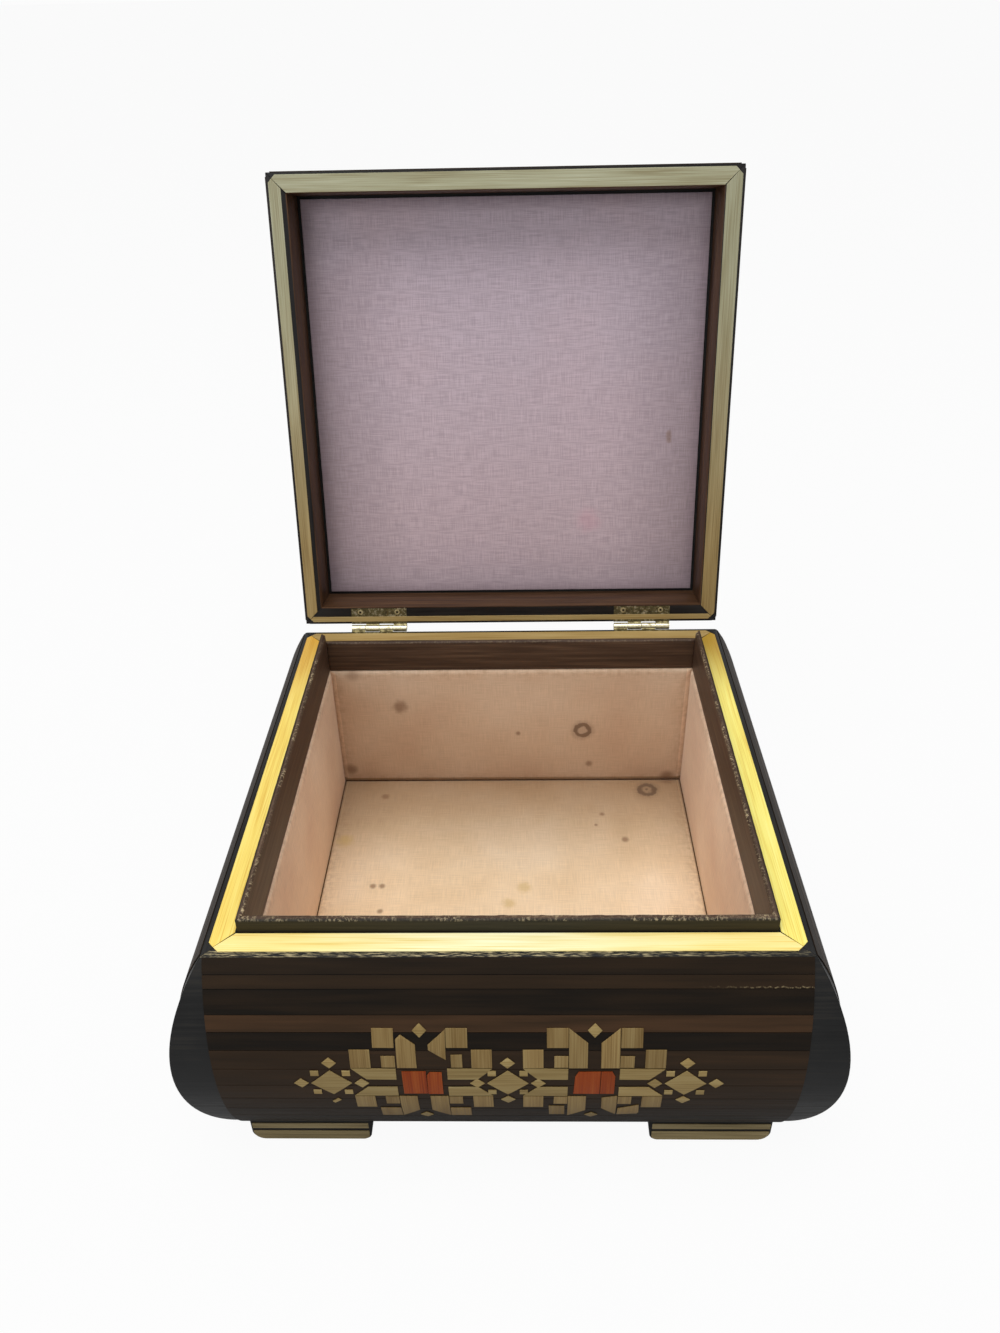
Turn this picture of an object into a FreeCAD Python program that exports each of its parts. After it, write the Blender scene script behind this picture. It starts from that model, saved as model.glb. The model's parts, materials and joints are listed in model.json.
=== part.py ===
import FreeCAD, Part
import math
import os
import re
import Sketcher

# A straw inlay box: a bellied box on four feet with a hinged lid, shown leaning open.
# X runs to the right, Y to the back and Z up, in millimetres.
# The origin lies on the table, under the middle of the box.

DIMENSIONS = {
    # carcase
    "rim_width": 200.0,
    "wall_height": 87.4,
    "rim_land": 9.8,
    "belly_radius": 81.0,
    "belly_drop": 45.8,
    "panel_thickness": 3.0,
    "panel_rebate": 3.0,
    "panel_gap": 0.2,
    # feet
    "foot_height": 12.6,
    "foot_length": 45.0,
    "foot_depth": 30.0,
    "foot_face_inset": 0.3,
    "foot_end_inset": 5.6,
    "foot_outer_round": 5.0,
    "foot_inner_round": 3.0,
    # lip inside the rim
    "lip_thickness": 2.4,
    "lip_rise": 6.0,
    "rear_lip_rise": 1.7,
    "lip_drop": 14.5,
    "lip_round": 0.8,
    # cloth lining
    "wall_pad_thickness": 3.4,
    "wall_pad_crown": 1.0,
    "floor_pad_thickness": 2.4,
    "floor_pad_crown": 0.9,
    "pad_gap": 0.45,
    # straw
    "straw_thickness": 0.35,
    "glue_gap": 0.05,
    "straw_joint": 0.25,
    "veneer_margin": 0.5,
    "rim_straw_width": 8.0,
    "rim_straw_margin": 1.4,
    "rim_straw_clip": 3.7,
    "foot_straw_upper": 3.4,
    "foot_straw_lower": 5.5,
    "foot_straw_gap": 1.2,
    "foot_straw_margin": 0.5,
    # inlay
    "tile_thickness": 0.25,
    "rosette_reach": 25.0,
    "rosette_offset": 28.9,
    "cluster_offset": 59.8,
    "motif_drop": 49.7,
    "lid_row_offset": 30.0,
    # lid
    "lid_height": 25.5,
    "lid_land": 8.2,
    "lid_lean": 1.2,
    "lid_shoulder": 3.5,
    "lid_panel_thickness": 3.0,
    "lid_panel_rebate": 2.0,
    "lid_pad_thickness": 2.0,
    "lid_pad_crown": 1.2,
    "lid_pad_gap": 1.2,
    "lid_straw_margin": 0.8,
    "lid_straw_front": 7.2,
    "lid_straw_left": 5.3,
    "lid_straw_right": 6.8,
    "lid_straw_rear": 2.8,
    "lid_straw_clip": 3.0,
    "open_angle": 101.7,
    # hinges
    "hinge_length": 27.0,
    "hinge_inset": 36.0,
    "hinge_set": 2.3,
    "leaf_thickness": 0.8,
    "leaf_depth": 7.6,
    "leaf_fit": 0.1,
    "pin_radius": 0.8,
    "bore_clearance": 0.05,
    "knuckle_gap": 0.3,
    "nail_spacing": 18.0,
    "nail_row": 5.7,
    "nail_head_radius": 1.3,
    "nail_head_height": 0.35,
    "nail_shank_radius": 0.6,
    "nail_length": 6.0,
    "nail_fit": 0.03,
    # how far a cutting shape runs past what it cuts
    "overrun": 2.0,
}

# Whose knuckle each one of a hinge's barrel is, from left to right.
KNUCKLE_OWNERS = ("base", "lid", "base", "lid")

# Sizes that follow from the driving dimensions, written as formulas of them.
FORMULAS = {
    "rim_half": "rim_width / 2",
    "rim_level": "foot_height + wall_height",
    "wall_inner": "rim_half - rim_land",
    "belly_level": "rim_level - belly_drop",
    "belly_axis": "rim_half - sqrt(belly_radius ^ 2 - belly_drop ^ 2)",
    "belly_half": "belly_axis + belly_radius",
    "bottom_half": "belly_axis + sqrt(belly_radius ^ 2 - (wall_height - belly_drop) ^ 2)",
    "panel_half": "wall_inner + panel_rebate",
    "panel_top": "foot_height + panel_thickness",
    "foot_face": "bottom_half - foot_face_inset",
    "foot_start": "bottom_half - foot_end_inset - foot_length",
    "lip_inner": "wall_inner - lip_thickness",
    "lip_top": "rim_level + lip_rise",
    "rear_lip_top": "rim_level + rear_lip_rise",
    "wall_pad_inner": "wall_inner - wall_pad_thickness",
    "wall_pad_top": "rim_level - lip_drop",
    "wall_pad_half_height": "(wall_pad_top - panel_top) / 2",
    "wall_pad_radius": "(wall_pad_half_height ^ 2 + wall_pad_crown ^ 2) / (2 * wall_pad_crown)",
    "floor_pad_half": "wall_pad_inner - pad_gap",
    "floor_pad_radius": "(2 * floor_pad_half ^ 2 + floor_pad_crown ^ 2) / (2 * floor_pad_crown)",
    "floor_pad_top": "panel_top + floor_pad_thickness",
    "rim_straw_outer": "rim_half - rim_straw_margin",
    "veneer_half": "rim_half - veneer_margin",
    "veneer_radius": "belly_radius + glue_gap",
    "tile_radius": "veneer_radius + straw_thickness + glue_gap",
    "barrel_radius": "pin_radius + bore_clearance + leaf_thickness",
    "hinge_line": "rim_half + hinge_set",
    "hinge_level": "rim_level + barrel_radius - leaf_thickness",
    "knuckle_length": f"hinge_length / {len(KNUCKLE_OWNERS)}",
    "nail_line": "rim_half - nail_row",
    "lid_level": "2 * hinge_level - rim_level",
    "lid_top": "lid_level + lid_height",
    "lid_inner": "rim_half - lid_land",
    "lid_panel_half": "lid_inner + lid_panel_rebate",
    "lid_ceiling": "lid_top - lid_panel_thickness",
    "lid_pad_half": "lid_inner - lid_pad_gap",
    "lid_pad_radius": "(2 * lid_pad_half ^ 2 + lid_pad_crown ^ 2) / (2 * lid_pad_crown)",
    "lid_straw_outer": "rim_half - lid_straw_margin",
    "lid_flat_half": "rim_half - lid_lean - lid_shoulder",
    "lid_side_height": "lid_height - lid_shoulder",
}

# Widths of the straws in a veneer, from the rim down, as shares of the veneer's whole width.
WALL_STRAW_SHARES = (0.062, 0.053, 0.100, 0.072, 0.081, 0.094, 0.094, 0.093, 0.090, 0.090, 0.091, 0.080)
LID_TOP_STRAW_SHARES = (0.09, 0.08, 0.085, 0.075, 0.09, 0.08, 0.085, 0.08, 0.09, 0.085, 0.08, 0.08)
LID_SIDE_STRAW_SHARES = (0.32, 0.36, 0.32)

# The upper right quarter of a rosette, as shares of its reach: across, then up from its middle.
UPRIGHT_TILE_SHARES = {
    "leaf": ((0.088, 0.32), (0.337, 0.32), (0.337, 1.0), (0.088, 0.765)),
    "top_square": ((0.345, 0.685), (0.632, 0.685), (0.632, 1.0), (0.345, 1.0)),
    "inner_square": ((0.345, 0.33), (0.532, 0.33), (0.532, 0.54), (0.345, 0.54)),
    "side_square": ((0.675, 0.32), (0.95, 0.32), (0.95, 0.65), (0.675, 0.65)),
}
LEVEL_TILE_SHARES = {
    "bar": ((0.345, 0.085), (0.75, 0.085), (0.95, 0.305), (0.345, 0.305)),
}
# The small diamonds above and below a rosette: how far away, and their halves across and up.
TIP_AWAY_SHARE = 0.965
TIP_HALF_SHARES = (0.095, 0.112)
# The red middle is two straws side by side, with their joint right of the centre.
RED_TILE_SHARES = {
    "left_red": ((-0.267, -0.25), (0.06, -0.25), (0.06, 0.25), (-0.267, 0.25)),
    "right_red": ((0.067, -0.25), (0.276, -0.25), (0.276, 0.25), (0.067, 0.25)),
}
# The cluster beside a rosette: a large diamond with small diamonds and squares round it.
DIAMOND_HALF_SHARES = (0.28, 0.27)
POINT_AWAY_SHARE = 0.412
POINT_HALF_SHARES = (0.10, 0.10)
SQUARE_ACROSS_SHARE = 0.214
SQUARE_UP_SHARE = 0.21
SQUARE_HALF_SHARES = (0.056, 0.052)
# Tiles of the front that have slipped, broken or lost a corner, by their place in the band.
WORN_TILE_SHARES = {
    ("left_rosette", "upper_left_leaf"):
        ((-0.323, 0.32), (-0.058, 0.32), (-0.064, 0.736), (-0.255, 0.9), (-0.323, 0.824)),
    ("left_rosette", "upper_right_leaf"):
        ((0.107, 0.645), (0.337, 0.473), (0.337, 0.979), (0.103, 0.731)),
    ("left_rosette", "upper_right_inner_square"):
        ((0.402, 0.33), (0.555, 0.33), (0.555, 0.566), (0.402, 0.561)),
    ("left_rosette", "right_red"):
        ((0.067, -0.26), (0.276, -0.26), (0.268, 0.235), (0.102, 0.235), (0.067, 0.17)),
    ("right_rosette", "lower_left_top_square"):
        ((-0.588, -0.944), (-0.374, -0.942), (-0.382, -0.612), (-0.6, -0.614)),
    ("right_rosette", "lower_right_leaf"):
        ((0.124, -0.357), (0.13, -0.69), (0.337, -0.935), (0.337, -0.31)),
    ("right_rosette", "lower_right_top_square"):
        ((0.36, -0.7), (0.36, -0.945), (0.64, -0.907), (0.66, -0.85), (0.645, -0.575)),
    ("right_rosette", "left_red"):
        ((-0.267, -0.25), (0.09, -0.25), (0.09, 0.25), (-0.207, 0.245), (-0.252, 0.146)),
    ("right_rosette", "right_red"):
        ((0.097, -0.25), (0.288, -0.25), (0.286, 0.152), (0.245, 0.25), (0.097, 0.25)),
    ("left_cluster", "lower_point"):
        ((-0.044, -0.472), (-0.012, -0.52), (0.088, -0.428), (0.044, -0.384)),
}

# The sides of the box, each a quarter turn on from the one before.
SIDES = ("rear", "left", "front", "right")
QUARTER_TURN = 90

doc = FreeCAD.newDocument("straw_inlay_box")
sheet = doc.addObject("Spreadsheet::Sheet", "dims")
for row, (alias, number) in enumerate(DIMENSIONS.items(), start=1):
    sheet.set(f"A{row}", alias)
    sheet.set(f"B{row}", str(number))
    sheet.setAlias(f"B{row}", alias)
doc.recompute()


def expand(text):
    """Write a formula of named sizes as an expression on the sheet."""
    def one_word(match):
        word = match.group(0)
        if word in FORMULAS:
            return "(" + expand(FORMULAS[word]) + ")"
        if word in DIMENSIONS:
            return "dims." + word
        return word
    return re.sub(r"[a-z_]+", one_word, text)


probe = doc.addObject("App::FeaturePython", "probe")


def value(text):
    """The number that a formula of named sizes gives."""
    return float(probe.evalExpression(expand(text)))


def bind(thing, **sizes):
    for prop, text in sizes.items():
        thing.setExpression(prop.replace("__", "."), expand(text))


# Sketches and mouldings

def sketch_on(body, role, name):
    sketch = body.newObject("Sketcher::SketchObject", name)
    plane = next(item for item in body.Origin.OriginFeatures if item.Role == role)
    sketch.AttachmentSupport = [(plane, "")]
    sketch.MapMode = "FlatFace"
    return sketch


def fix_corner(sketch, edge, across, up):
    """Hold the start of an edge at two formulas; a zero lies on the sketch's own axis."""
    for kind, text, axis in (("DistanceX", across, -2), ("DistanceY", up, -1)):
        if text == "0":
            sketch.addConstraint(Sketcher.Constraint("PointOnObject", edge, 1, axis))
        else:
            index = sketch.addConstraint(Sketcher.Constraint(kind, -1, 1, edge, 1, value(text)))
            sketch.setExpression(f"Constraints[{index}]", expand(text))


def convex_arc(start, end, radius):
    """The arc from start to end that turns left about its centre."""
    chord = end - start
    half = chord.Length / 2
    inward = FreeCAD.Vector(-chord.y, chord.x, 0).normalize()
    centre = start + chord / 2 + inward * math.sqrt(max(radius ** 2 - half ** 2, 0))
    angles = [math.atan2(p.y - centre.y, p.x - centre.x) for p in (start, end)]
    circle = Part.Circle(centre, FreeCAD.Vector(0, 0, 1), radius)
    return Part.ArcOfCircle(circle, angles[0], angles[1])


def outline(sketch, corners):
    """Draw a closed outline, anticlockwise.

    A corner is two formulas, across and up. A third is the radius of an arc that starts there.
    """
    points = [FreeCAD.Vector(value(across), value(up), 0) for across, up, *radius in corners]
    for corner, start, end in zip(corners, points, points[1:] + points[:1]):
        across, up, *radius = corner
        if radius:
            sketch.addGeometry(convex_arc(start, end, value(*radius)))
        else:
            sketch.addGeometry(Part.LineSegment(start, end))
    edges = list(range(len(corners)))
    for edge, following in zip(edges, edges[1:] + edges[:1]):
        sketch.addConstraint(Sketcher.Constraint("Coincident", edge, 2, following, 1))
    for edge, (across, up, *radius) in enumerate(corners):
        fix_corner(sketch, edge, across, up)
    for edge, (across, up, *radius) in enumerate(corners):
        if radius:
            index = sketch.addConstraint(Sketcher.Constraint("Radius", edge, value(*radius)))
            sketch.setExpression(f"Constraints[{index}]", expand(*radius))


def moulding(name, corners, inner, outer, clip=None):
    """A length of moulding for the rear side, mitred at both ends.

    Its section lies in the YZ plane. A clip also cuts the tip of the mitre off square to it.
    """
    body = doc.addObject("PartDesign::Body", name)
    section = sketch_on(body, "YZ_Plane", name + "_section")
    outline(section, corners)
    pad = body.newObject("PartDesign::Pad", name + "_length")
    pad.Profile = section
    pad.SideType = "Symmetric"
    near = f"({inner} - overrun)"
    far = f"({outer} + overrun)"
    bind(pad, Length=f"2 * {far}")
    mitre = sketch_on(body, "XY_Plane", name + "_mitre")
    if clip is None:
        cut = [(near, near), (far, near), (far, far)]
    else:
        tip = f"({outer} - {clip} / 2)"
        cut = [(near, near), (far, near), (far, far), (f"{outer} - {clip} - overrun", far), (tip, tip)]
    outline(mitre, cut)
    doc.recompute()
    whole = body.Shape.Volume
    pocket = body.newObject("PartDesign::Pocket", name + "_mitre_cut")
    pocket.Profile = mitre
    pocket.Type = "ThroughAll"
    pocket.Reversed = True
    mirrored = body.newObject("PartDesign::Mirrored", name + "_both_mitres")
    mirrored.Originals = [pocket]
    mirror_plane = next(item for item in body.Origin.OriginFeatures if item.Role == "YZ_Plane")
    mirrored.MirrorPlane = (mirror_plane, [""])
    body.Tip = mirrored
    doc.recompute()
    if not body.Shape.Volume < whole:
        raise ValueError(name + ": the mitres cut nothing")
    return body


# Placing

def turned(side):
    """From the rear side, where mouldings are drawn, to another side of the box."""
    turn = FreeCAD.Rotation(FreeCAD.Vector(0, 0, 1), QUARTER_TURN * SIDES.index(side))
    return FreeCAD.Placement(FreeCAD.Vector(), turn)


def lid_opened():
    """From the closed lid, where its pieces are drawn, to the lid leaning open."""
    hinge = FreeCAD.Vector(0, value("hinge_line"), value("hinge_level"))
    turn = FreeCAD.Rotation(FreeCAD.Vector(1, 0, 0), -value("open_angle"))
    return FreeCAD.Placement(FreeCAD.Vector(), turn, hinge)


NODES = []


def finish(piece, label, placement=None):
    piece.Label = label
    if placement is not None:
        piece.Placement = placement
    NODES.append(piece)


# Primitives and booleans

def box(name, low, sizes):
    block = doc.addObject("Part::Box", name)
    bind(block, Length=sizes[0], Width=sizes[1], Height=sizes[2])
    bind(block, Placement__Base__x=low[0], Placement__Base__y=low[1], Placement__Base__z=low[2])
    return block


def rod(name, start, radius, length, along_x=False):
    bar = doc.addObject("Part::Cylinder", name)
    if along_x:
        bar.Placement.Rotation = FreeCAD.Rotation(FreeCAD.Vector(0, 1, 0), QUARTER_TURN)
    bind(bar, Radius=radius, Height=length)
    bind(bar, Placement__Base__x=start[0], Placement__Base__y=start[1], Placement__Base__z=start[2])
    return bar


def fused(name, pieces):
    union = doc.addObject("Part::MultiFuse", name)
    union.Shapes = pieces
    return union


def grouped(name, pieces):
    group = doc.addObject("Part::Compound", name)
    group.Links = pieces
    return group


def carved(name, base, tools):
    cut = doc.addObject("Part::Cut", name)
    cut.Base = base
    cut.Tool = fused(name + "_cutters", tools)
    return cut


def crowned(name, base, radius, level):
    """A pad cut from a block by a wide ball, so that its face is highest in the middle.

    The ball's poles are laid level, away from the pad's face.
    """
    ball = doc.addObject("Part::Sphere", name + "_ball")
    ball.Placement.Rotation = FreeCAD.Rotation(FreeCAD.Vector(1, 0, 0), QUARTER_TURN)
    bind(ball, Radius=radius, Placement__Base__z=level)
    pad = doc.addObject("Part::Common", name)
    pad.Base = base
    pad.Tool = ball
    return pad


def shaped(name, shape):
    """A straw piece, or a group of them, whose shape is worked out below."""
    piece = doc.addObject("Part::Feature", name)
    piece.Shape = shape
    return piece


# Hinges

HINGES = {"left": "hinge_inset - rim_half", "right": "rim_half - hinge_inset"}
BASE_LEAF_LEVEL = "(rim_level - leaf_thickness)"
NAIL_SIDES = {"a": "- nail_spacing / 2", "b": "nail_spacing / 2"}


def hinge_start(side):
    return f"({HINGES[side]} - hinge_length / 2)"


def knuckles(name, side, owner):
    """A leaf's own knuckles of the barrel, with half a gap off each end."""
    length = "knuckle_length - knuckle_gap"
    bars = []
    for place, holder in enumerate(KNUCKLE_OWNERS):
        if holder != owner:
            continue
        across = f"{hinge_start(side)} + {place} * knuckle_length + knuckle_gap / 2"
        start = (across, "hinge_line", "hinge_level")
        bars.append(rod(f"{name}_{place}", start, "barrel_radius", length, along_x=True))
    return bars


def notches(name, side, owner, level):
    """Room in a leaf for the other leaf's knuckles."""
    blocks = []
    for place, holder in enumerate(KNUCKLE_OWNERS):
        if holder == owner:
            continue
        low = (
            f"{hinge_start(side)} + {place} * knuckle_length - knuckle_gap / 2",
            "hinge_line - barrel_radius - knuckle_gap",
            f"{level} - overrun",
        )
        sizes = ("knuckle_length + knuckle_gap", "2 * barrel_radius + 2 * knuckle_gap")
        blocks.append(box(f"{name}_{place}", low, sizes + ("leaf_thickness + 2 * overrun",)))
    return blocks


def nail_places(side):
    return {key: f"{HINGES[side]} + ({offset})" for key, offset in NAIL_SIDES.items()}


def hinge_leaf(name, side, level, owner):
    plate = box(
        name + "_plate",
        (hinge_start(side), "rim_half - leaf_depth", level),
        ("hinge_length", "leaf_depth + hinge_set", "leaf_thickness"),
    )
    cleared = carved(name + "_notched", plate, notches(name + "_notch", side, owner, level))
    solid = fused(name + "_solid", [cleared] + knuckles(name + "_knuckle", side, owner))
    bore_start = (f"{hinge_start(side)} - overrun", "hinge_line", "hinge_level")
    bore_length = "hinge_length + 2 * overrun"
    tools = [rod(name + "_bore", bore_start, "pin_radius + bore_clearance", bore_length, along_x=True)]
    hole_length = "leaf_thickness + 2 * overrun"
    for key, across in nail_places(side).items():
        start = (across, "nail_line", f"{level} - overrun")
        tools.append(rod(f"{name}_nail_hole_{key}", start, "nail_shank_radius + nail_fit", hole_length))
        if owner == "base":
            sunk = (across, "nail_line", "rim_level - nail_head_height")
            depth = "nail_head_height + overrun"
            tools.append(rod(f"{name}_nail_seat_{key}", sunk, "nail_head_radius + nail_fit", depth))
    return carved(name, solid, tools)


def nails(name, head_level, shank_low):
    made = []
    for side in HINGES:
        for key, across in nail_places(side).items():
            stem = f"{name}_{side}_{key}"
            head_low = (across, "nail_line", head_level)
            head = rod(stem + "_head", head_low, "nail_head_radius", "nail_head_height")
            tip = (across, "nail_line", shank_low)
            shank = rod(stem + "_shank", tip, "nail_shank_radius", "nail_length")
            made.append(fused(stem, [head, shank]))
    return grouped(name, made)


def mortises(name, low):
    """The seats of both leaves, to cut from whatever stands behind them."""
    blocks = []
    for side in HINGES:
        corner = (f"{hinge_start(side)} - leaf_fit", "rim_half - leaf_depth - leaf_fit", low)
        depth = "leaf_depth + leaf_fit + hinge_set"
        sizes = ("hinge_length + 2 * leaf_fit", depth, "leaf_thickness + overrun")
        blocks.append(box(f"{name}_mortise_{side}", corner, sizes))
    return blocks


def nail_holes(name, low):
    holes = []
    for side in HINGES:
        for key, across in nail_places(side).items():
            start = (across, "nail_line", low)
            radius = "nail_shank_radius + nail_fit"
            holes.append(rod(f"{name}_hole_{side}_{key}", start, radius, "nail_length + overrun"))
    return holes


# Carcase

WALL_SECTION = [
    ("panel_half", "foot_height"),
    ("bottom_half", "foot_height", "belly_radius"),
    ("rim_half", "rim_level"),
    ("wall_inner", "rim_level"),
    ("wall_inner", "panel_top"),
    ("panel_half", "panel_top"),
]
for side in SIDES:
    wall = moulding(side + "_wall_stock", WALL_SECTION, "wall_inner", "belly_half")
    if side == "rear":
        seats = mortises("wall", BASE_LEAF_LEVEL)
        holes = nail_holes("wall", "rim_level - nail_length - nail_fit")
        wall = carved("rear_wall_cut", wall, seats + holes)
    finish(wall, side + "_wall", turned(side))

panel_size = "2 * (panel_half - panel_gap)"
panel_low = "panel_gap - panel_half"
panel_sizes = (panel_size, panel_size, "panel_thickness")
finish(box("bottom_board", (panel_low, panel_low, "foot_height"), panel_sizes), "bottom_panel")


def lip_section(top):
    """The section of a lip strip, with its upper edges eased."""
    return [
        ("lip_inner", "rim_level - lip_drop"),
        ("wall_inner", "rim_level - lip_drop"),
        ("wall_inner", f"{top} - lip_round", "lip_round"),
        ("wall_inner - lip_round", top),
        ("lip_inner + lip_round", top, "lip_round"),
        ("lip_inner", f"{top} - lip_round"),
    ]


# The rear strip is lower than the others, so that the lid's rear rail swings over it.
for side in SIDES:
    top = "rear_lip_top" if side == "rear" else "lip_top"
    lip = moulding(side + "_lip_strip", lip_section(top), "lip_inner", "wall_inner")
    finish(lip, "lip_" + side, turned(side))


# Feet, drawn under the rear wall

def foot(name, start_round, end_round):
    body = doc.addObject("PartDesign::Body", name)
    face = sketch_on(body, "XZ_Plane", name + "_face")
    corners = [
        (start_round, "0"),
        (f"foot_length - {end_round}", "0", end_round),
        ("foot_length", end_round),
        ("foot_length", "foot_height"),
        ("0", "foot_height"),
        ("0", start_round, start_round),
    ]
    outline(face, corners)
    pad = body.newObject("PartDesign::Pad", name + "_depth")
    pad.Profile = face
    pad.Reversed = True
    bind(pad, Length="foot_depth")
    return body


def foot_straws(start_round, end_round):
    """The two straws on a foot's face; the lower one follows the foot's rounded ends."""
    margin = value("foot_straw_margin")
    length = value("foot_length") - 2 * margin
    lower = value("foot_straw_lower")
    thick = value("straw_thickness")
    face = value("foot_depth")
    strip = Part.makeBox(length, thick, lower, FreeCAD.Vector(margin, face, margin))
    for edge_x, radius in ((margin, start_round), (margin + length, end_round)):
        corner = [
            edge for edge in strip.Edges
            if abs(edge.CenterOfMass.x - edge_x) < thick and abs(edge.CenterOfMass.z - margin) < thick
        ]
        strip = strip.makeFillet(value(radius) - margin, corner[:1])
    upper_low = margin + lower + value("foot_straw_gap")
    upper = Part.makeBox(length, thick, value("foot_straw_upper"), FreeCAD.Vector(margin, face, upper_low))
    return [strip, upper]


# Each foot of a side as it is drawn at the rear: its rounds from left to right, and where it starts.
FOOT_ENDS = {
    "right": ("foot_inner_round", "foot_outer_round", "foot_start"),
    "left": ("foot_outer_round", "foot_inner_round", "- foot_start - foot_length"),
}
OTHER_HAND = {"left": "right", "right": "left"}
for side in ("front", "rear"):
    strips = []
    for hand, (start_round, end_round, start) in FOOT_ENDS.items():
        seen_hand = hand if side == "rear" else OTHER_HAND[hand]
        name = f"foot_{side}_{seen_hand}"
        shift = FreeCAD.Vector(value(start), value("foot_face - foot_depth"), 0)
        seat = turned(side).multiply(FreeCAD.Placement(shift, FreeCAD.Rotation()))
        finish(foot(name + "_block", start_round, end_round), name, seat)
        for strip in foot_straws(start_round, end_round):
            strip.Placement = seat.multiply(strip.Placement)
            strips.append(strip)
    finish(shaped(side + "_foot_strips", Part.makeCompound(strips)), f"foot_straws_{side}")


# Lining

PAD_SECTION = [
    ("wall_pad_inner", "panel_top"),
    ("wall_inner", "panel_top"),
    ("wall_inner", "wall_pad_top"),
    ("wall_pad_inner", "wall_pad_top", "wall_pad_radius"),
]
for side in SIDES:
    inner = "(wall_pad_inner - wall_pad_crown)"
    pad = moulding(side + "_wall_pad", PAD_SECTION, inner, "wall_inner")
    finish(pad, "lining_" + side, turned(side))

floor_size = "2 * floor_pad_half"
floor_low = ("- floor_pad_half", "- floor_pad_half", "panel_top")
floor_block = box("floor_pad_block", floor_low, (floor_size, floor_size, "floor_pad_thickness"))
floor_pad = crowned("floor_pad", floor_block, "floor_pad_radius", "floor_pad_top - floor_pad_radius")
finish(floor_pad, "lining_floor")


# Straw bands on the rims

def rim_band(name, width, outer, low, clip):
    top = f"{low} + straw_thickness"
    section = [(f"{outer} - {width}", low), (outer, low), (outer, top), (f"{outer} - {width}", top)]
    return moulding(name, section, f"({outer} - {width})", outer, clip)


for side in SIDES:
    width, outer = "rim_straw_width", "rim_straw_outer"
    band = rim_band(side + "_rim_band", width, outer, "rim_level", "rim_straw_clip")
    finish(band, "rim_straw_" + side, turned(side))


# Straw veneer and inlay on the bellied walls, drawn on the rear wall

def belly_point(radius, drop):
    """A point of the wall's section: drop is measured along the belly, down from the rim."""
    top_angle = math.asin(value("belly_drop / belly_radius"))
    angle = top_angle - drop / value("belly_radius")
    across = value("belly_axis") + radius * math.cos(angle)
    return FreeCAD.Vector(0, across, value("belly_level") + radius * math.sin(angle))


def belly_length():
    top_angle = math.asin(value("belly_drop / belly_radius"))
    low_angle = math.asin(value("(wall_height - belly_drop) / belly_radius"))
    return value("belly_radius") * (top_angle + low_angle)


def belly_band(radius, thickness, drops, half_length):
    """A curved strip that follows the belly between two drops."""
    high, low = drops
    middle = (high + low) / 2
    inner = [belly_point(radius, drop) for drop in (high, middle, low)]
    outer = [belly_point(radius + thickness, drop) for drop in (low, middle, high)]
    edges = [
        Part.Arc(*inner).toShape(),
        Part.makeLine(inner[2], outer[0]),
        Part.Arc(*outer).toShape(),
        Part.makeLine(outer[2], inner[0]),
    ]
    face = Part.Face(Part.Wire(edges))
    face.translate(FreeCAD.Vector(-half_length, 0, 0))
    return face.extrude(FreeCAD.Vector(2 * half_length, 0, 0))


def straw_spans(shares, start, whole):
    """Where each straw of a veneer starts and ends, with a joint between neighbours."""
    joint = value("straw_joint")
    spans = []
    for share in shares:
        end = start + share * whole
        spans.append((start + joint / 2, end - joint / 2))
        start = end
    return spans


def wall_veneer():
    margin = value("veneer_margin")
    usable = belly_length() - 2 * margin
    spans = straw_spans(WALL_STRAW_SHARES, margin, usable)
    size = (value("veneer_radius"), value("straw_thickness"))
    return [belly_band(*size, span, value("veneer_half")) for span in spans]


def diamond(across, up, half_across, half_up):
    return (
        (across - half_across, up),
        (across, up - half_up),
        (across + half_across, up),
        (across, up + half_up),
    )


def rectangle(across, up, half_across, half_up):
    low, high = (across - half_across, up - half_up), (across + half_across, up + half_up)
    return (low, (high[0], low[1]), high, (low[0], high[1]))


def rosette_tiles(quarter_shares):
    """Mirror the tiles of the upper right quarter into all four."""
    tiles = {}
    for level, flip_up in (("upper", 1), ("lower", -1)):
        for hand, flip_across in (("right", 1), ("left", -1)):
            for name, tile in quarter_shares.items():
                corners = [(flip_across * across, flip_up * up) for across, up in tile]
                tiles[f"{level}_{hand}_{name}"] = corners
    return tiles


def tip_tiles():
    return {
        "upper_tip": diamond(0, TIP_AWAY_SHARE, *TIP_HALF_SHARES),
        "lower_tip": diamond(0, -TIP_AWAY_SHARE, *TIP_HALF_SHARES),
    }


def cluster_tiles():
    tiles = {"diamond": diamond(0, 0, *DIAMOND_HALF_SHARES)}
    for level, up in (("upper", 1), ("lower", -1)):
        tiles[level + "_point"] = diamond(0, up * POINT_AWAY_SHARE, *POINT_HALF_SHARES)
        for hand, across in (("right", 1), ("left", -1)):
            tiles[hand + "_point"] = diamond(across * POINT_AWAY_SHARE, 0, *POINT_HALF_SHARES)
            place = (across * SQUARE_ACROSS_SHARE, up * SQUARE_UP_SHARE)
            tiles[f"{level}_{hand}_square"] = rectangle(*place, *SQUARE_HALF_SHARES)
    return tiles


# Where each motif of a band stands, and which of its tiles are cut from which straw.
BAND_PLACES = {
    "left_cluster": "- cluster_offset",
    "left_rosette": "- rosette_offset",
    "middle_cluster": "0",
    "right_rosette": "rosette_offset",
    "right_cluster": "cluster_offset",
}
MOTIF_TILES = {
    "upright": {"rosette": rosette_tiles(UPRIGHT_TILE_SHARES), "cluster": {}},
    "level": {"rosette": rosette_tiles(LEVEL_TILE_SHARES) | tip_tiles(), "cluster": cluster_tiles()},
    "red": {"rosette": RED_TILE_SHARES, "cluster": {}},
}


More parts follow.
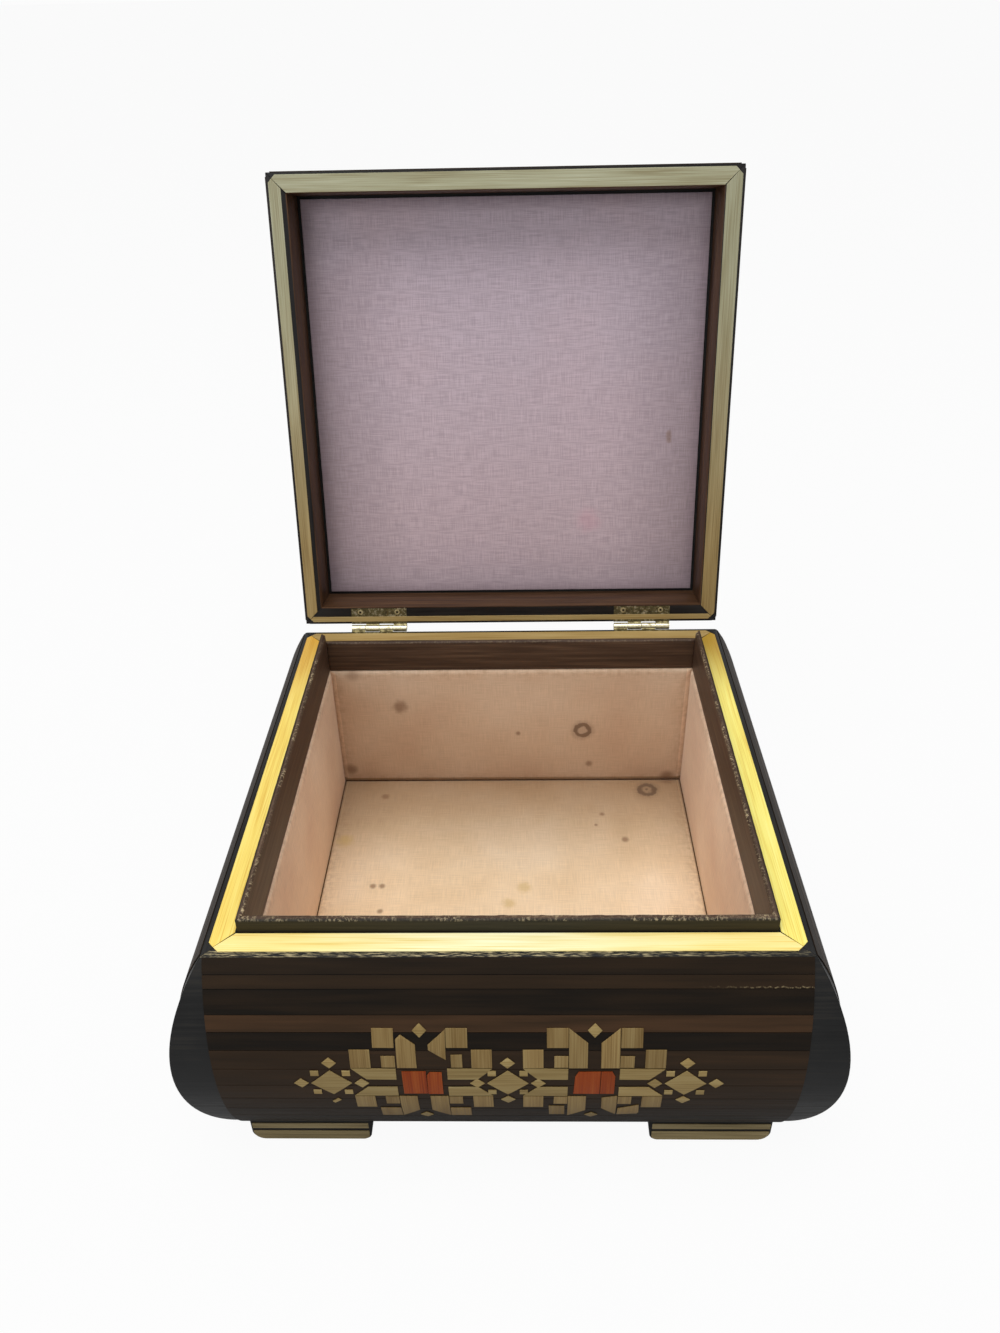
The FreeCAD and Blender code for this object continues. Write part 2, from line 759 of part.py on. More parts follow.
def band_outlines(straw, worn_shares):
    """The outlines of a band's tiles of one straw: right of the band's middle, and up from it."""
    reach = value("rosette_reach")
    outlines = []
    for place, offset in BAND_PLACES.items():
        middle = value(offset)
        motif = place.split("_")[-1]
        for name, tile in MOTIF_TILES[straw][motif].items():
            corners = worn_shares.get((place, name), tile)
            outlines.append([(middle + across * reach, up * reach) for across, up in corners])
    return outlines


def wall_inlay(straw):
    """Tiles cut out of a thin layer that follows the belly, seen from outside the wall."""
    whole_wall = (0, belly_length())
    layer = belly_band(value("tile_radius"), value("tile_thickness"), whole_wall, value("rim_half"))
    tiles = []
    for shape in band_outlines(straw, WORN_TILE_SHARES):
        corners = []
        for right, up in shape:
            height = belly_point(value("belly_radius"), value("motif_drop") - up).z
            corners.append(FreeCAD.Vector(-right, value("belly_axis"), height))
        prism = Part.Face(Part.makePolygon(corners + corners[:1]))
        prism = prism.extrude(FreeCAD.Vector(0, value("belly_radius + overrun"), 0))
        tiles.extend(layer.common(prism).Solids)
    return tiles


for side in SIDES:
    veneer = shaped(side + "_wall_straws", Part.makeCompound(wall_veneer()))
    if side == "rear":
        veneer = carved("rear_wall_straws_cut", veneer, mortises("veneer", BASE_LEAF_LEVEL))
    finish(veneer, "veneer_" + side, turned(side))
for straw in MOTIF_TILES:
    inlay = shaped(f"front_{straw}_tiles", Part.makeCompound(wall_inlay(straw)))
    finish(inlay, f"inlay_{straw}_straw", turned("front"))

# Hinges on the carcase

for side in HINGES:
    leaf = hinge_leaf(side + "_base_leaf", side, BASE_LEAF_LEVEL, "base")
    finish(leaf, "hinge_base_leaf_" + side)
    pin_start = (hinge_start(side), "hinge_line", "hinge_level")
    pin = rod(side + "_pin", pin_start, "pin_radius", "hinge_length", along_x=True)
    finish(pin, "hinge_pin_" + side)
base_nails = nails("base_nails", "rim_level - nail_head_height", "rim_level - nail_length")
finish(base_nails, "hinge_nails_base")

# Lid, drawn closed and placed open

OPEN = lid_opened()
LID_SECTION = [
    ("lid_inner", "lid_level"),
    ("rim_half", "lid_level"),
    ("rim_half - lid_lean", "lid_top - lid_shoulder", "lid_shoulder"),
    ("lid_flat_half", "lid_top"),
    ("lid_panel_half", "lid_top"),
    ("lid_panel_half", "lid_ceiling"),
    ("lid_inner", "lid_ceiling"),
]
for side in SIDES:
    rail = moulding(side + "_lid_rail_stock", LID_SECTION, "lid_inner", "rim_half")
    if side == "rear":
        seats = mortises("lid", "lid_level - overrun")
        holes = nail_holes("lid", "lid_level + nail_fit - overrun")
        rail = carved("rear_lid_rail_cut", rail, seats + holes)
    finish(rail, "lid_rail_" + side, OPEN.multiply(turned(side)))

top_size = "2 * (lid_panel_half - panel_gap)"
top_low = "panel_gap - lid_panel_half"
top_sizes = (top_size, top_size, "lid_panel_thickness")
top_board = box("lid_board", (top_low, top_low, "lid_ceiling"), top_sizes)
finish(grouped("lid_board_piece", [top_board]), "lid_top_panel", OPEN)

pad_size = "2 * lid_pad_half"
pad_face = "lid_ceiling - lid_pad_thickness"
pad_low = ("- lid_pad_half", "- lid_pad_half", pad_face)
pad_block = box("lid_pad_block", pad_low, (pad_size, pad_size, "lid_pad_thickness"))
lid_pad = crowned("lid_pad", pad_block, "lid_pad_radius", pad_face + " + lid_pad_radius")
finish(lid_pad, "lid_lining", OPEN)

for side in SIDES:
    width = "lid_straw_" + side
    low = "lid_level - straw_thickness"
    band = rim_band(side + "_lid_band", width, "lid_straw_outer", low, "lid_straw_clip")
    finish(band, "lid_straw_band_" + side, OPEN.multiply(turned(side)))


def lid_top_veneer():
    half = value("lid_flat_half - veneer_margin")
    low = value("lid_top")
    straws = []
    for start, end in straw_spans(LID_TOP_STRAW_SHARES, -half, 2 * half):
        corner = FreeCAD.Vector(-half, start, low)
        straws.append(Part.makeBox(2 * half, end - start, value("straw_thickness"), corner))
    return straws


def lid_side_veneer():
    """Straws on the leaning sides of the lid, drawn on the rear one and turned to all four."""
    foot_point = FreeCAD.Vector(0, value("rim_half"), value("lid_level"))
    head_point = FreeCAD.Vector(0, value("rim_half - lid_lean"), value("lid_level + lid_side_height"))
    up = head_point - foot_point
    length = up.Length
    up.normalize()
    out = FreeCAD.Vector(0, up.z, -up.y)
    margin = value("veneer_margin")
    half = value("rim_half - lid_lean - veneer_margin")
    straws = []
    for start, end in straw_spans(LID_SIDE_STRAW_SHARES, margin, length - 2 * margin):
        near, far = value("glue_gap"), value("glue_gap + straw_thickness")
        places = ((start, near), (start, far), (end, far), (end, near))
        corners = [foot_point + up * rise + out * away for rise, away in places]
        face = Part.Face(Part.makePolygon(corners + corners[:1]))
        face.translate(FreeCAD.Vector(-half, 0, 0))
        straw = face.extrude(FreeCAD.Vector(2 * half, 0, 0))
        for side in SIDES:
            copy = straw.copy()
            copy.Placement = turned(side)
            straws.append(copy)
    return straws


def lid_inlay(straw):
    """Two bands of the same ornament on the flat top."""
    low = value("lid_top + straw_thickness")
    rise = FreeCAD.Vector(0, 0, value("tile_thickness"))
    tiles = []
    for row in ("- lid_row_offset", "lid_row_offset"):
        middle = value(row)
        for shape in band_outlines(straw, {}):
            corners = [FreeCAD.Vector(right, middle + up, low) for right, up in shape]
            tiles.append(Part.Face(Part.makePolygon(corners + corners[:1])).extrude(rise))
    return tiles


finish(shaped("lid_top_straws", Part.makeCompound(lid_top_veneer())), "lid_top_veneer", OPEN)
side_straws = shaped("lid_side_straws", Part.makeCompound(lid_side_veneer()))
side_straws = carved("lid_side_straws_cut", side_straws, mortises("lid_veneer", "lid_level - overrun"))
finish(side_straws, "lid_side_veneer", OPEN)
for straw in MOTIF_TILES:
    tiles = shaped(f"lid_{straw}_tiles", Part.makeCompound(lid_inlay(straw)))
    finish(tiles, f"lid_inlay_{straw}_straw", OPEN)

for side in HINGES:
    leaf = hinge_leaf(side + "_lid_leaf", side, "lid_level", "lid")
    finish(leaf, "hinge_lid_leaf_" + side, OPEN)
lid_nails = nails("lid_nails", "lid_level - nail_head_height", "lid_level")
finish(lid_nails, "hinge_nails_lid", OPEN)

# Test every object before anything is written

doc.recompute()
for item in doc.Objects:
    if "Invalid" in item.State or "Error" in item.State:
        raise RuntimeError(item.Name + " failed: " + ", ".join(item.State))
for piece in NODES:
    if piece.Shape.isNull() or not piece.Shape.isValid() or not piece.Shape.Solids:
        raise RuntimeError(piece.Label + " has no valid solid")
os.makedirs("parts", exist_ok=True)
for piece in NODES:
    piece.Shape.exportStep(os.path.join("parts", piece.Label + ".step"))
    print(piece.Label, len(piece.Shape.Solids), "solids", round(piece.Shape.Volume), "mm3")
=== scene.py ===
# %% [markdown]
# # A straw inlay box
# The real thing is a small square keepsake box with bellied walls on four block feet.
# Its walls are covered with dark straw, its rims with golden straw, and a folk ornament
# of pale and red straw tiles lies on the front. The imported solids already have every
# piece at its real size, so this lesson only loads them and gives each one its finish:
# the straws are laid again one by one, the wood gets worn edges, and the lining is
# padded cloth.

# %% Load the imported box
import json
import math
import random

import bmesh
import bpy
from mathutils import Matrix, Vector, noise


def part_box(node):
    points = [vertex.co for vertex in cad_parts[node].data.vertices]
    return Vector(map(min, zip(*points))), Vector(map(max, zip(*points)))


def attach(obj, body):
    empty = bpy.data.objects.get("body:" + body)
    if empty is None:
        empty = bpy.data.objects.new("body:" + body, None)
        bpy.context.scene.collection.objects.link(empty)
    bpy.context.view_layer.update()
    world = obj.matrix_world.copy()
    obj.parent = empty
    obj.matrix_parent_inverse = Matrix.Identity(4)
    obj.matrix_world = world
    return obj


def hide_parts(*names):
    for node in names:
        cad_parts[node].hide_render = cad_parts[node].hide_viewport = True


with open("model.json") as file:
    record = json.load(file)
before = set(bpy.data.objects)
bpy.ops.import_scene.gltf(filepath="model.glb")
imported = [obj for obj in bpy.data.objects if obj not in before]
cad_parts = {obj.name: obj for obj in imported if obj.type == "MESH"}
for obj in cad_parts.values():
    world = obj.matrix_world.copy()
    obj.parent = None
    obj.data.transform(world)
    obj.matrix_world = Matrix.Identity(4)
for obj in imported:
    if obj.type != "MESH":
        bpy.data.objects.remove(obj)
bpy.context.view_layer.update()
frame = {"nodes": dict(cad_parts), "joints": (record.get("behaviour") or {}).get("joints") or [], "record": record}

MM = 0.001
nodes = frame["nodes"]

# %% [markdown]
# The imported record knows which body each solid moves with. Reading that from there,
# instead of writing it again here, keeps the looks and the moving model from drifting apart.

# %% Look up bodies
record = frame["record"]
body_of = {}
for body, members in record["behaviour"]["bodies"].items():
    for member in members:
        body_of[member] = body

# %% [markdown]
# The lid leans open at rest, so its pieces lie aslant in the model's frame. Grain and
# wear are easier to describe on a closed lid, with its rails square to the axes. The
# hinge joint gives the turn between the two, once as a matrix for points and once as the
# numbers that a Mapping node needs.

# %% Measure the lid's turn
hinge = frame["joints"][0]
HINGE_LINE = Vector(hinge["pos_m"])
LEAN = math.radians(hinge["range_deg"][1])
TURN = Matrix.Rotation(LEAN, 3, "X")
CLOSING = Matrix.Translation(HINGE_LINE) @ TURN.to_4x4() @ Matrix.Translation(-HINGE_LINE)
OPENING = CLOSING.inverted()
CLOSING_SHIFT = HINGE_LINE - TURN @ HINGE_LINE
ACROSS = Vector((1, 0, 0))
TO_HINGE = {"box": Vector((0, 1, 0)), "lid": OPENING.to_3x3() @ Vector((0, 1, 0))}
UPWARD = {"box": Vector((0, 0, 1)), "lid": OPENING.to_3x3() @ Vector((0, 0, 1))}
print("lid leans", round(math.degrees(LEAN), 1), "degrees from shut")

# %% [markdown]
# Every finish here is a small net of shader nodes. A helper that adds a node and wires
# it in one call keeps each recipe readable: a value that is a socket gets a link, and a
# plain number or colour is set on the socket itself.

# %% A helper for finishes
class Finish:
    """A material, with short words for adding and wiring its nodes."""

    def __init__(self, name, roughness=0.5, metallic=0.0, specular=0.5):
        self.material = bpy.data.materials.new(name)
        self.material.use_nodes = True
        self.tree = self.material.node_tree
        self.shader = self.tree.nodes["Principled BSDF"]
        self.set("Roughness", roughness)
        self.set("Metallic", metallic)
        self.set("Specular IOR Level", specular)

    def wire(self, socket, value):
        if isinstance(value, bpy.types.NodeSocket):
            self.tree.links.new(value, socket)
        else:
            socket.default_value = value

    def set(self, name, value):
        self.wire(self.shader.inputs[name], value)

    def add(self, kind, **settings):
        made = self.tree.nodes.new("ShaderNode" + kind)
        for key, value in settings.items():
            setattr(made, key, value)
        return made

    def place(self):
        return self.add("TexCoord").outputs["Object"]

    def map(self, name):
        return self.add("UVMap", uv_map=name).outputs["UV"]

    def attribute(self, name):
        return self.add("Attribute", attribute_name=name).outputs["Fac"]

    def turned(self, vector, scale=(1, 1, 1), rotation=(0, 0, 0), location=(0, 0, 0)):
        made = self.add("Mapping")
        self.wire(made.inputs["Vector"], vector)
        made.inputs["Scale"].default_value = scale
        made.inputs["Rotation"].default_value = rotation
        made.inputs["Location"].default_value = location
        return made.outputs["Vector"]

    def shut_place(self):
        """Object coordinates of a lid piece, turned to where the closed lid lies."""
        return self.turned(self.place(), rotation=(LEAN, 0, 0), location=CLOSING_SHIFT)

    def parts(self, vector):
        made = self.add("SeparateXYZ")
        self.wire(made.inputs[0], vector)
        return made.outputs

    def maths(self, operation, *values, clamp=False):
        made = self.add("Math", operation=operation, use_clamp=clamp)
        for socket, value in zip(made.inputs, values):
            self.wire(socket, value)
        return made.outputs[0]

    def distance(self, vector, centre):
        made = self.add("VectorMath", operation="DISTANCE")
        self.wire(made.inputs[0], vector)
        self.wire(made.inputs[1], centre)
        return made.outputs["Value"]

    def noise(self, vector, scale, detail=3.0, roughness=0.5):
        made = self.add("TexNoise")
        self.wire(made.inputs["Vector"], vector)
        made.inputs["Scale"].default_value = scale
        made.inputs["Detail"].default_value = detail
        made.inputs["Roughness"].default_value = roughness
        return made.outputs["Fac"]

    def span(self, value, low, high, to_low=0.0, to_high=1.0):
        made = self.add("MapRange", interpolation_type="SMOOTHSTEP")
        for socket, number in zip(made.inputs, (value, low, high, to_low, to_high)):
            self.wire(socket, number)
        return made.outputs[0]

    def ramp(self, factor, *stops):
        made = self.add("ValToRGB")
        self.wire(made.inputs[0], factor)
        elements = made.color_ramp.elements
        while len(elements) < len(stops):
            elements.new(0.5)
        for element, (position, colour) in zip(elements, stops):
            element.position = position
            element.color = colour
        return made.outputs["Color"]

    def mix(self, factor, first, second, blend="MIX"):
        made = self.add("Mix", data_type="RGBA", blend_type=blend)
        self.wire(made.inputs[0], factor)
        self.wire(made.inputs[6], first)
        self.wire(made.inputs[7], second)
        return made.outputs[2]

    def value(self, colour, factor):
        """A colour made brighter or darker by a socket's number."""
        made = self.add("HueSaturation")
        self.wire(made.inputs["Color"], colour)
        self.wire(made.inputs["Value"], factor)
        return made.outputs["Color"]

    def relief(self, height, depth, strength=1.0):
        made = self.add("Bump")
        made.inputs["Strength"].default_value = strength
        made.inputs["Distance"].default_value = depth
        self.wire(made.inputs["Height"], height)
        self.set("Normal", made.outputs["Normal"])


def tint(red, green, blue):
    """A colour as it is read off a picture, 0 to 255, turned to linear light."""
    linear = [(part / 255 + 0.055) / 1.055 for part in (red, green, blue)]
    return tuple(part ** 2.4 for part in linear) + (1.0,)


print("white is", [round(part, 2) for part in tint(255, 255, 255)])

# %% [markdown]
# The box was photographed from above its front edge with a wide lens. The camera repeats
# that place: it was worked out from the square corners of the rim and the lid, and is
# kept as a position, a tilt, a small turn and a small roll.

# %% Place the camera
PICTURE = (1000, 1333)
FOCAL_PIXELS = 1021.0118
CAMERA_PLACE = Vector((6.3102, -323.5326, 361.9849)) * MM
CAMERA_TILT = math.radians(56.2812)
CAMERA_TURN = math.radians(1.5714)
CAMERA_ROLL = math.radians(-1.3205)

lens = bpy.data.cameras.new("camera")
lens.sensor_width = 36
lens.lens = lens.sensor_width * FOCAL_PIXELS / PICTURE[1]
lens.clip_start = 0.01
camera = bpy.data.objects.new("camera", lens)
aim = Matrix.Rotation(CAMERA_TURN, 4, "Z") @ Matrix.Rotation(CAMERA_TILT, 4, "X")
camera.matrix_world = Matrix.Translation(CAMERA_PLACE) @ aim @ Matrix.Rotation(CAMERA_ROLL, 4, "Z")
scene = bpy.context.scene
scene.collection.objects.link(camera)
scene.camera = camera
scene.view_settings.view_transform = "Standard"
print("lens", round(lens.lens, 2), "mm, looking along", [round(part, 4) for part in aim.col[2][:3]])

# %% [markdown]
# The picture's background is plain white with hardly a shadow. The floor is a light grey
# sheet that shines towards the lens only, so it looks white without lighting the box and
# still takes a trace of its shadow. The world is white where it is seen or mirrored, and
# a soft grey where it gives light. The floor doesn't shine into mirrored rays, because
# the undersides of the walls would look hazy.

# %% Lay the floor and set the world
FLOOR_HALF = 60.0
FLOOR_GLOW = 0.94
SKY_LIGHT = 0.46
SKY_SEEN = 0.97

def seen_directly(finish):
    rays = finish.add("LightPath").outputs
    return finish.maths("MAXIMUM", rays["Is Camera Ray"], rays["Is Transmission Ray"])


floor_finish = Finish("pale_floor", roughness=0.9, specular=0.0)
floor_speckle = floor_finish.noise(floor_finish.place(), 40.0)
floor_greys = ((0.3, (0.6, 0.6, 0.6, 1)), (0.7, (0.63, 0.63, 0.63, 1)))
floor_finish.set("Base Color", floor_finish.ramp(floor_speckle, *floor_greys))
glow = floor_finish.add("Emission")
both = floor_finish.add("MixShader")
shining = floor_finish.maths("MULTIPLY", seen_directly(floor_finish), FLOOR_GLOW)
floor_finish.wire(both.inputs[0], shining)
floor_finish.wire(both.inputs[1], floor_finish.shader.outputs[0])
floor_finish.wire(both.inputs[2], glow.outputs[0])
floor_finish.wire(floor_finish.tree.nodes["Material Output"].inputs["Surface"], both.outputs[0])

sheet = bmesh.new()
bmesh.ops.create_grid(sheet, x_segments=1, y_segments=1, size=FLOOR_HALF)
floor_mesh = bpy.data.meshes.new("floor")
sheet.to_mesh(floor_mesh)
sheet.free()
floor = bpy.data.objects.new("floor", floor_mesh)
floor.data.materials.append(floor_finish.material)
scene.collection.objects.link(floor)

world = bpy.data.worlds.new("studio")
world.use_nodes = True
scene.world = world
links = world.node_tree.links
sky = world.node_tree.nodes["Background"]
sky.inputs["Color"].default_value = (0.98, 0.99, 1.0, 1)
sky.inputs["Strength"].default_value = SKY_LIGHT
white = world.node_tree.nodes.new("ShaderNodeBackground")
white.inputs["Color"].default_value = (1, 1, 1, 1)
white.inputs["Strength"].default_value = SKY_SEEN
rays = world.node_tree.nodes.new("ShaderNodeLightPath")
either = world.node_tree.nodes.new("ShaderNodeMath")
either.operation = "MAXIMUM"
links.new(rays.outputs["Is Camera Ray"], either.inputs[0])
links.new(rays.outputs["Is Transmission Ray"], either.inputs[1])
any_ray = world.node_tree.nodes.new("ShaderNodeMath")
any_ray.operation = "MAXIMUM"
links.new(either.outputs[0], any_ray.inputs[0])
links.new(rays.outputs["Is Glossy Ray"], any_ray.inputs[1])
blend = world.node_tree.nodes.new("ShaderNodeMixShader")
links.new(any_ray.outputs[0], blend.inputs[0])
links.new(sky.outputs[0], blend.inputs[1])
links.new(white.outputs[0], blend.inputs[2])
links.new(blend.outputs[0], world.node_tree.nodes["World Output"].inputs["Surface"])
print("floor", 2 * FLOOR_HALF, "m wide, sky light", SKY_LIGHT)

# %% [markdown]
# The light in the picture is soft and comes from above, a little from the front: the
# rims are bright, the front wall is dim, and the inside fades towards the back. Two large
# soft lamps do that, a strong one overhead and a weak one from the front left.

# %% Hang the lamps
BOX_MIDDLE = Vector((0, 0, 0.08))
LAMPS = {
    "overhead": {"place": (-0.1, -0.25, 1.6), "size": 1.2, "watts": 17},
    "front_fill": {"place": (-0.8, -1.5, 0.9), "size": 1.0, "watts": 6},
}

def hang_lamp(name, place, size, watts):
    lamp = bpy.data.lights.new(name, "AREA")
    lamp.shape = "DISK"
    lamp.size = size
    lamp.energy = watts
    hung = bpy.data.objects.new(name, lamp)
    away = Vector(place) - BOX_MIDDLE
    turn = away.to_track_quat("Z", "Y").to_matrix().to_4x4()
    hung.matrix_world = Matrix.Translation(Vector(place)) @ turn
    scene.collection.objects.link(hung)


for name, settings in LAMPS.items():
    hang_lamp(name, **settings)

# %% [markdown]
# ## Copies of the solids
# A solid from the imported model is a bag of loose triangles. To round its edges or lay a
# map on it, a copy is made first: its doubled points are merged, and flat triangles are
# joined into whole faces again. The copy then takes the solid's place and its body, and
# gets its own finish.

# %% Helpers for copies
WELD = 0.001 * MM
SAME_PLANE = math.radians(0.6)
SHARP = math.radians(28)

def welded(node):
    """The solid's mesh as a clean bmesh, one face for each flat side."""
    bm = bmesh.new()
    bm.from_mesh(nodes[node].data)
    bmesh.ops.remove_doubles(bm, verts=bm.verts, dist=WELD)
    bmesh.ops.dissolve_limit(bm, angle_limit=SAME_PLANE, verts=bm.verts, edges=bm.edges)
    bm.normal_update()
    return bm


def sharp_edges(bm):
    joined = [edge for edge in bm.edges if len(edge.link_faces) == 2]
    return [edge for edge in joined if edge.calc_face_angle() > SHARP]


def ease(bm, edges, width, segments=1):
    """Rounds edges a little, as use and glasspaper do."""
    bmesh.ops.bevel(
        bm, geom=edges, offset=width, offset_type="OFFSET", segments=segments, profile=0.5,
        affect="EDGES", clamp_overlap=True, material=-1,
    )


def settle(bm, node, name, finish):
    """Makes the bmesh a piece that stands for the solid."""
    mesh = bpy.data.meshes.new(name)
    bm.to_mesh(mesh)
    bm.free()
    mesh.materials.append(finish.material)
    mesh.shade_smooth()
    mesh.set_sharp_from_angle(angle=SHARP)
    piece = bpy.data.objects.new(name, mesh)
    scene.collection.objects.link(piece)
    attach(piece, body_of[node])
    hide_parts(node)
    return piece


def eased_copy(node, finish, width, segments=2):
    bm = welded(node)
    ease(bm, sharp_edges(bm), width * MM, segments)
    settle(bm, node, "eased_" + node, finish)


def coat(node, finish):
    """Gives a solid that stays as it is a better finish."""
    solid = nodes[node]
    if not solid.material_slots:
        solid.data.materials.append(None)
    for slot in solid.material_slots:
        slot.material = finish.material


print("merge distance", WELD / MM, "mm")

# %% [markdown]
# ## Straw
# Straw is split, soaked and ironed flat, so each piece is a ribbon under half a
# millimetre thick with fine lines along it and a tone of its own. Each ribbon or tile of
# a solid is an island of its mesh. A map with millimetres along and across the ribbon and
# one random tone per island let a single finish show hundreds of different straws.

# %% Lay the straws one by one
MAP_SHIFT = 400
NARROWEST = 1 * MM
TILE_SHRINK = 0.006
STRAW_RELIEF = 0.05 * MM

def islands_of(bm):
    """The groups of joined faces, in the order of the mesh."""
    found = []
    done = set()
    for first in bm.faces:
        if first in done:
            continue
        done.add(first)
        group = [first]
        for face in group:
            for edge in face.edges:
                for other in edge.link_faces:
                    if other not in done:
                        done.add(other)
                        group.append(other)
        found.append(group)
    return found


def points_of(group):
    return list({vert.index: vert for face in group for vert in face.verts}.values())


def reach(points, way):
    steps = [point.co.dot(way) for point in points]
    return max(steps) - min(steps)


def lay_straws(node, finish, runs, tones, edge=0.06, slack=0.0, gap=0.0):
    """Copies a straw solid with a map along each straw and a tone for each."""
    luck = random.Random(node)
    bm = welded(node)
    bm.verts.index_update()
    straw_map = bm.loops.layers.uv.new("straw")
    tone = bm.verts.layers.float.new("tone")
    groups = islands_of(bm)
    middles = []
    for group in groups:
        points = points_of(group)
        middles.append(sum((point.co for point in points), Vector()) / len(points))
    top_down = sorted(range(len(groups)), key=lambda one: -middles[one].z)
    rank = {one: place for place, one in enumerate(top_down)}
    for one, group in enumerate(groups):
        points = points_of(group)
        outward = max(group, key=lambda face: face.calc_area()).normal.copy()
        run = max(runs, key=lambda way: reach(points, way))
        run = (run - outward * run.dot(outward)).normalized()
        side = outward.cross(run)
        start = Vector((luck.uniform(0, MAP_SHIFT), luck.uniform(0, MAP_SHIFT)))
        for face in group:
            for loop in face.loops:
                spot = loop.vert.co / MM
                loop[straw_map].uv = start + Vector((spot.dot(run), spot.dot(side)))
        own_tone = tones(rank[one], luck)
        for point in points:
            point[tone] = own_tone
        for way in (run, side) if gap else ():
            share = 2 * gap * MM / max(reach(points, way), NARROWEST)
            for point in points:
                point.co -= way * (point.co - middles[one]).dot(way) * share
        if slack:
            turn = Matrix.Rotation(math.radians(luck.uniform(-slack, slack)), 3, outward)
            shrink = 1 - TILE_SHRINK * luck.random()
            for point in points:
                point.co = middles[one] + turn @ (point.co - middles[one]) * shrink
    ease(bm, sharp_edges(bm), edge * MM)
    settle(bm, node, "laid_" + node, finish)
    print(node, len(groups), "straws")


def spread(low, high):
    """Tones drawn evenly between two values."""
    return lambda rank, luck: luck.uniform(low, high)


# %% [markdown]
# Natural straw is a warm yellow with a silky gloss. Thin lines run along it where the
# fibres lie, and broader clouds where it ripened unevenly. Noise stretched along the
# ribbon gives both, and the lines also raise the surface a very little. The straw of the
# rim is lemon at the front and golden at the sides, and that of the lid is a greenish tan.
# The rims' colours are partly painted light: paler at the front, where the light is
# strongest, and darker along the back, in painted shade where the open lid keeps the light
# off. Each entry of the table of ageing and shade names a direction, where along it in
# millimetres the darkening begins and is full, and its colour.

# %% Mix the natural straw finishes
def straw_lines(finish):
    ribbon = finish.map("straw")
    fine = finish.noise(finish.turned(ribbon, scale=(0.03, 2.6, 1)), 1.0, 3.0)
    cloud = finish.noise(finish.turned(ribbon, scale=(0.02, 0.25, 1)), 1.0, 2.0)
    return fine, cloud


def to_sides(finish):
    """How far a point lies from the box's middle plane, to either side."""
    return finish.maths("ABSOLUTE", finish.parts(finish.place())[0])


def to_back(finish):
    return finish.parts(finish.place())[1]


def to_top(finish):
    return finish.parts(finish.place())[2]


def to_lid_back(finish):
    return finish.parts(finish.shut_place())[1]


def natural_straw(name, dark, middle, light, aged_and_shaded, gloss):
    finish = Finish(name, specular=gloss)
    fine, cloud = straw_lines(finish)
    both = finish.maths("MULTIPLY_ADD", fine, 0.6, finish.maths("MULTIPLY", cloud, 0.4))
    colour = finish.ramp(both, (0.34, dark), (0.5, middle), (0.66, light))
    if aged_and_shaded:
        way, darkening_start, darkening_full, stain_and_shade = aged_and_shaded
        age_and_shade = finish.span(way(finish), darkening_start * MM, darkening_full * MM)
        colour = finish.mix(age_and_shade, colour, stain_and_shade, "MULTIPLY")
    finish.set("Base Color", finish.value(colour, finish.attribute("tone")))
    finish.set("Roughness", finish.span(fine, 0.3, 0.7, 0.32, 0.5))
    finish.relief(fine, STRAW_RELIEF, 0.5)
    return finish


STRAWS = {
    # The four rims are one golden straw. Their colours are partly painted light: paler at the front, and darker at
    # the back as painted shade from the open lid.
    "front_rim": (tint(230, 210, 134), tint(247, 239, 188), tint(252, 248, 214)),
    "left_rim": (tint(218, 172, 70), tint(241, 214, 108), tint(248, 229, 136)),
    "right_rim": (tint(224, 188, 80), tint(246, 231, 121), tint(250, 242, 150)),
    "rear_rim": (tint(143, 114, 62), tint(166, 139, 86), tint(179, 155, 106)),
    "lid": (tint(144, 134, 100), tint(172, 169, 138), tint(192, 192, 164)),
    "foot": (tint(97, 84, 53), tint(134, 118, 81), tint(155, 139, 102)),
    "upright": (tint(110, 86, 49), tint(135, 111, 69), tint(150, 129, 86)),
    "level": (tint(121, 98, 57), tint(148, 126, 80), tint(165, 146, 100)),
    "red": (tint(115, 41, 11), tint(137, 59, 19), tint(151, 76, 32)),
}
# Darkening along one direction. On the left and right rims it is painted shade towards the back, under the open
# lid. The front rim turns golden towards its ends, and the lid's straw turns darker and warmer towards the hinge.
AGEING_AND_SHADE = {
    "front_rim": (to_sides, 0, 85, (1.0, 0.86, 0.52, 1.0)),
    "left_rim": (to_back, 25, 95, (0.74, 0.56, 0.4, 1.0)),
    "right_rim": (to_back, 35, 95, (0.44, 0.3, 0.14, 1.0)),
    "lid": (to_lid_back, -90, 95, (0.86, 0.62, 0.37, 1.0)),
    # Painted shade: the pale upright and level tiles darken towards the foot of the bellied wall.
    "upright": (to_top, 46, 22, (0.62, 0.58, 0.5, 1.0)),
    "level": (to_top, 46, 22, (0.72, 0.68, 0.6, 1.0)),
}
RIM_GLOSS = 0.2
TILE_GLOSS = 0.08
TILES = ("upright", "level", "red")
straws = {}
for name, shades in STRAWS.items():
    gloss = TILE_GLOSS if name in TILES else RIM_GLOSS
    straws[name] = natural_straw(name + "_straw", *shades, AGEING_AND_SHADE.get(name), gloss)
print("natural straw finishes:", len(straws))

# %% [markdown]
# The walls are covered with straw that was stained from black to brown before it was
# laid, so the wall shows level bands. Here the tone of a straw picks its stain instead of
# its brightness: nought is black, a third is dark brown and one is a worn reddish brown.
# The lowest bands get lower and lower tones, which is painted shade under the belly.
# A fine, broken, wavering scratch lies high on the front, at its right end.

# %% Mix the stained straw finish
STAINS = (
    (0.0, tint(25, 21, 17)), (0.35, tint(49, 37, 26)),
    (0.7, tint(82, 58, 40)), (1.0, tint(104, 76, 55)),
)
FRONT_STRAW = -95 * MM
SCRATCH_HEIGHT = 91.2 * MM
SCRATCH_WAVER = 2.4 * MM
SCRATCH_START, SCRATCH_END = 60 * MM, 92 * MM
SCRATCH_OUTER, SCRATCH_INNER = 0.3 * MM, 0.1 * MM
SCRATCH_STRENGTH = 0.3

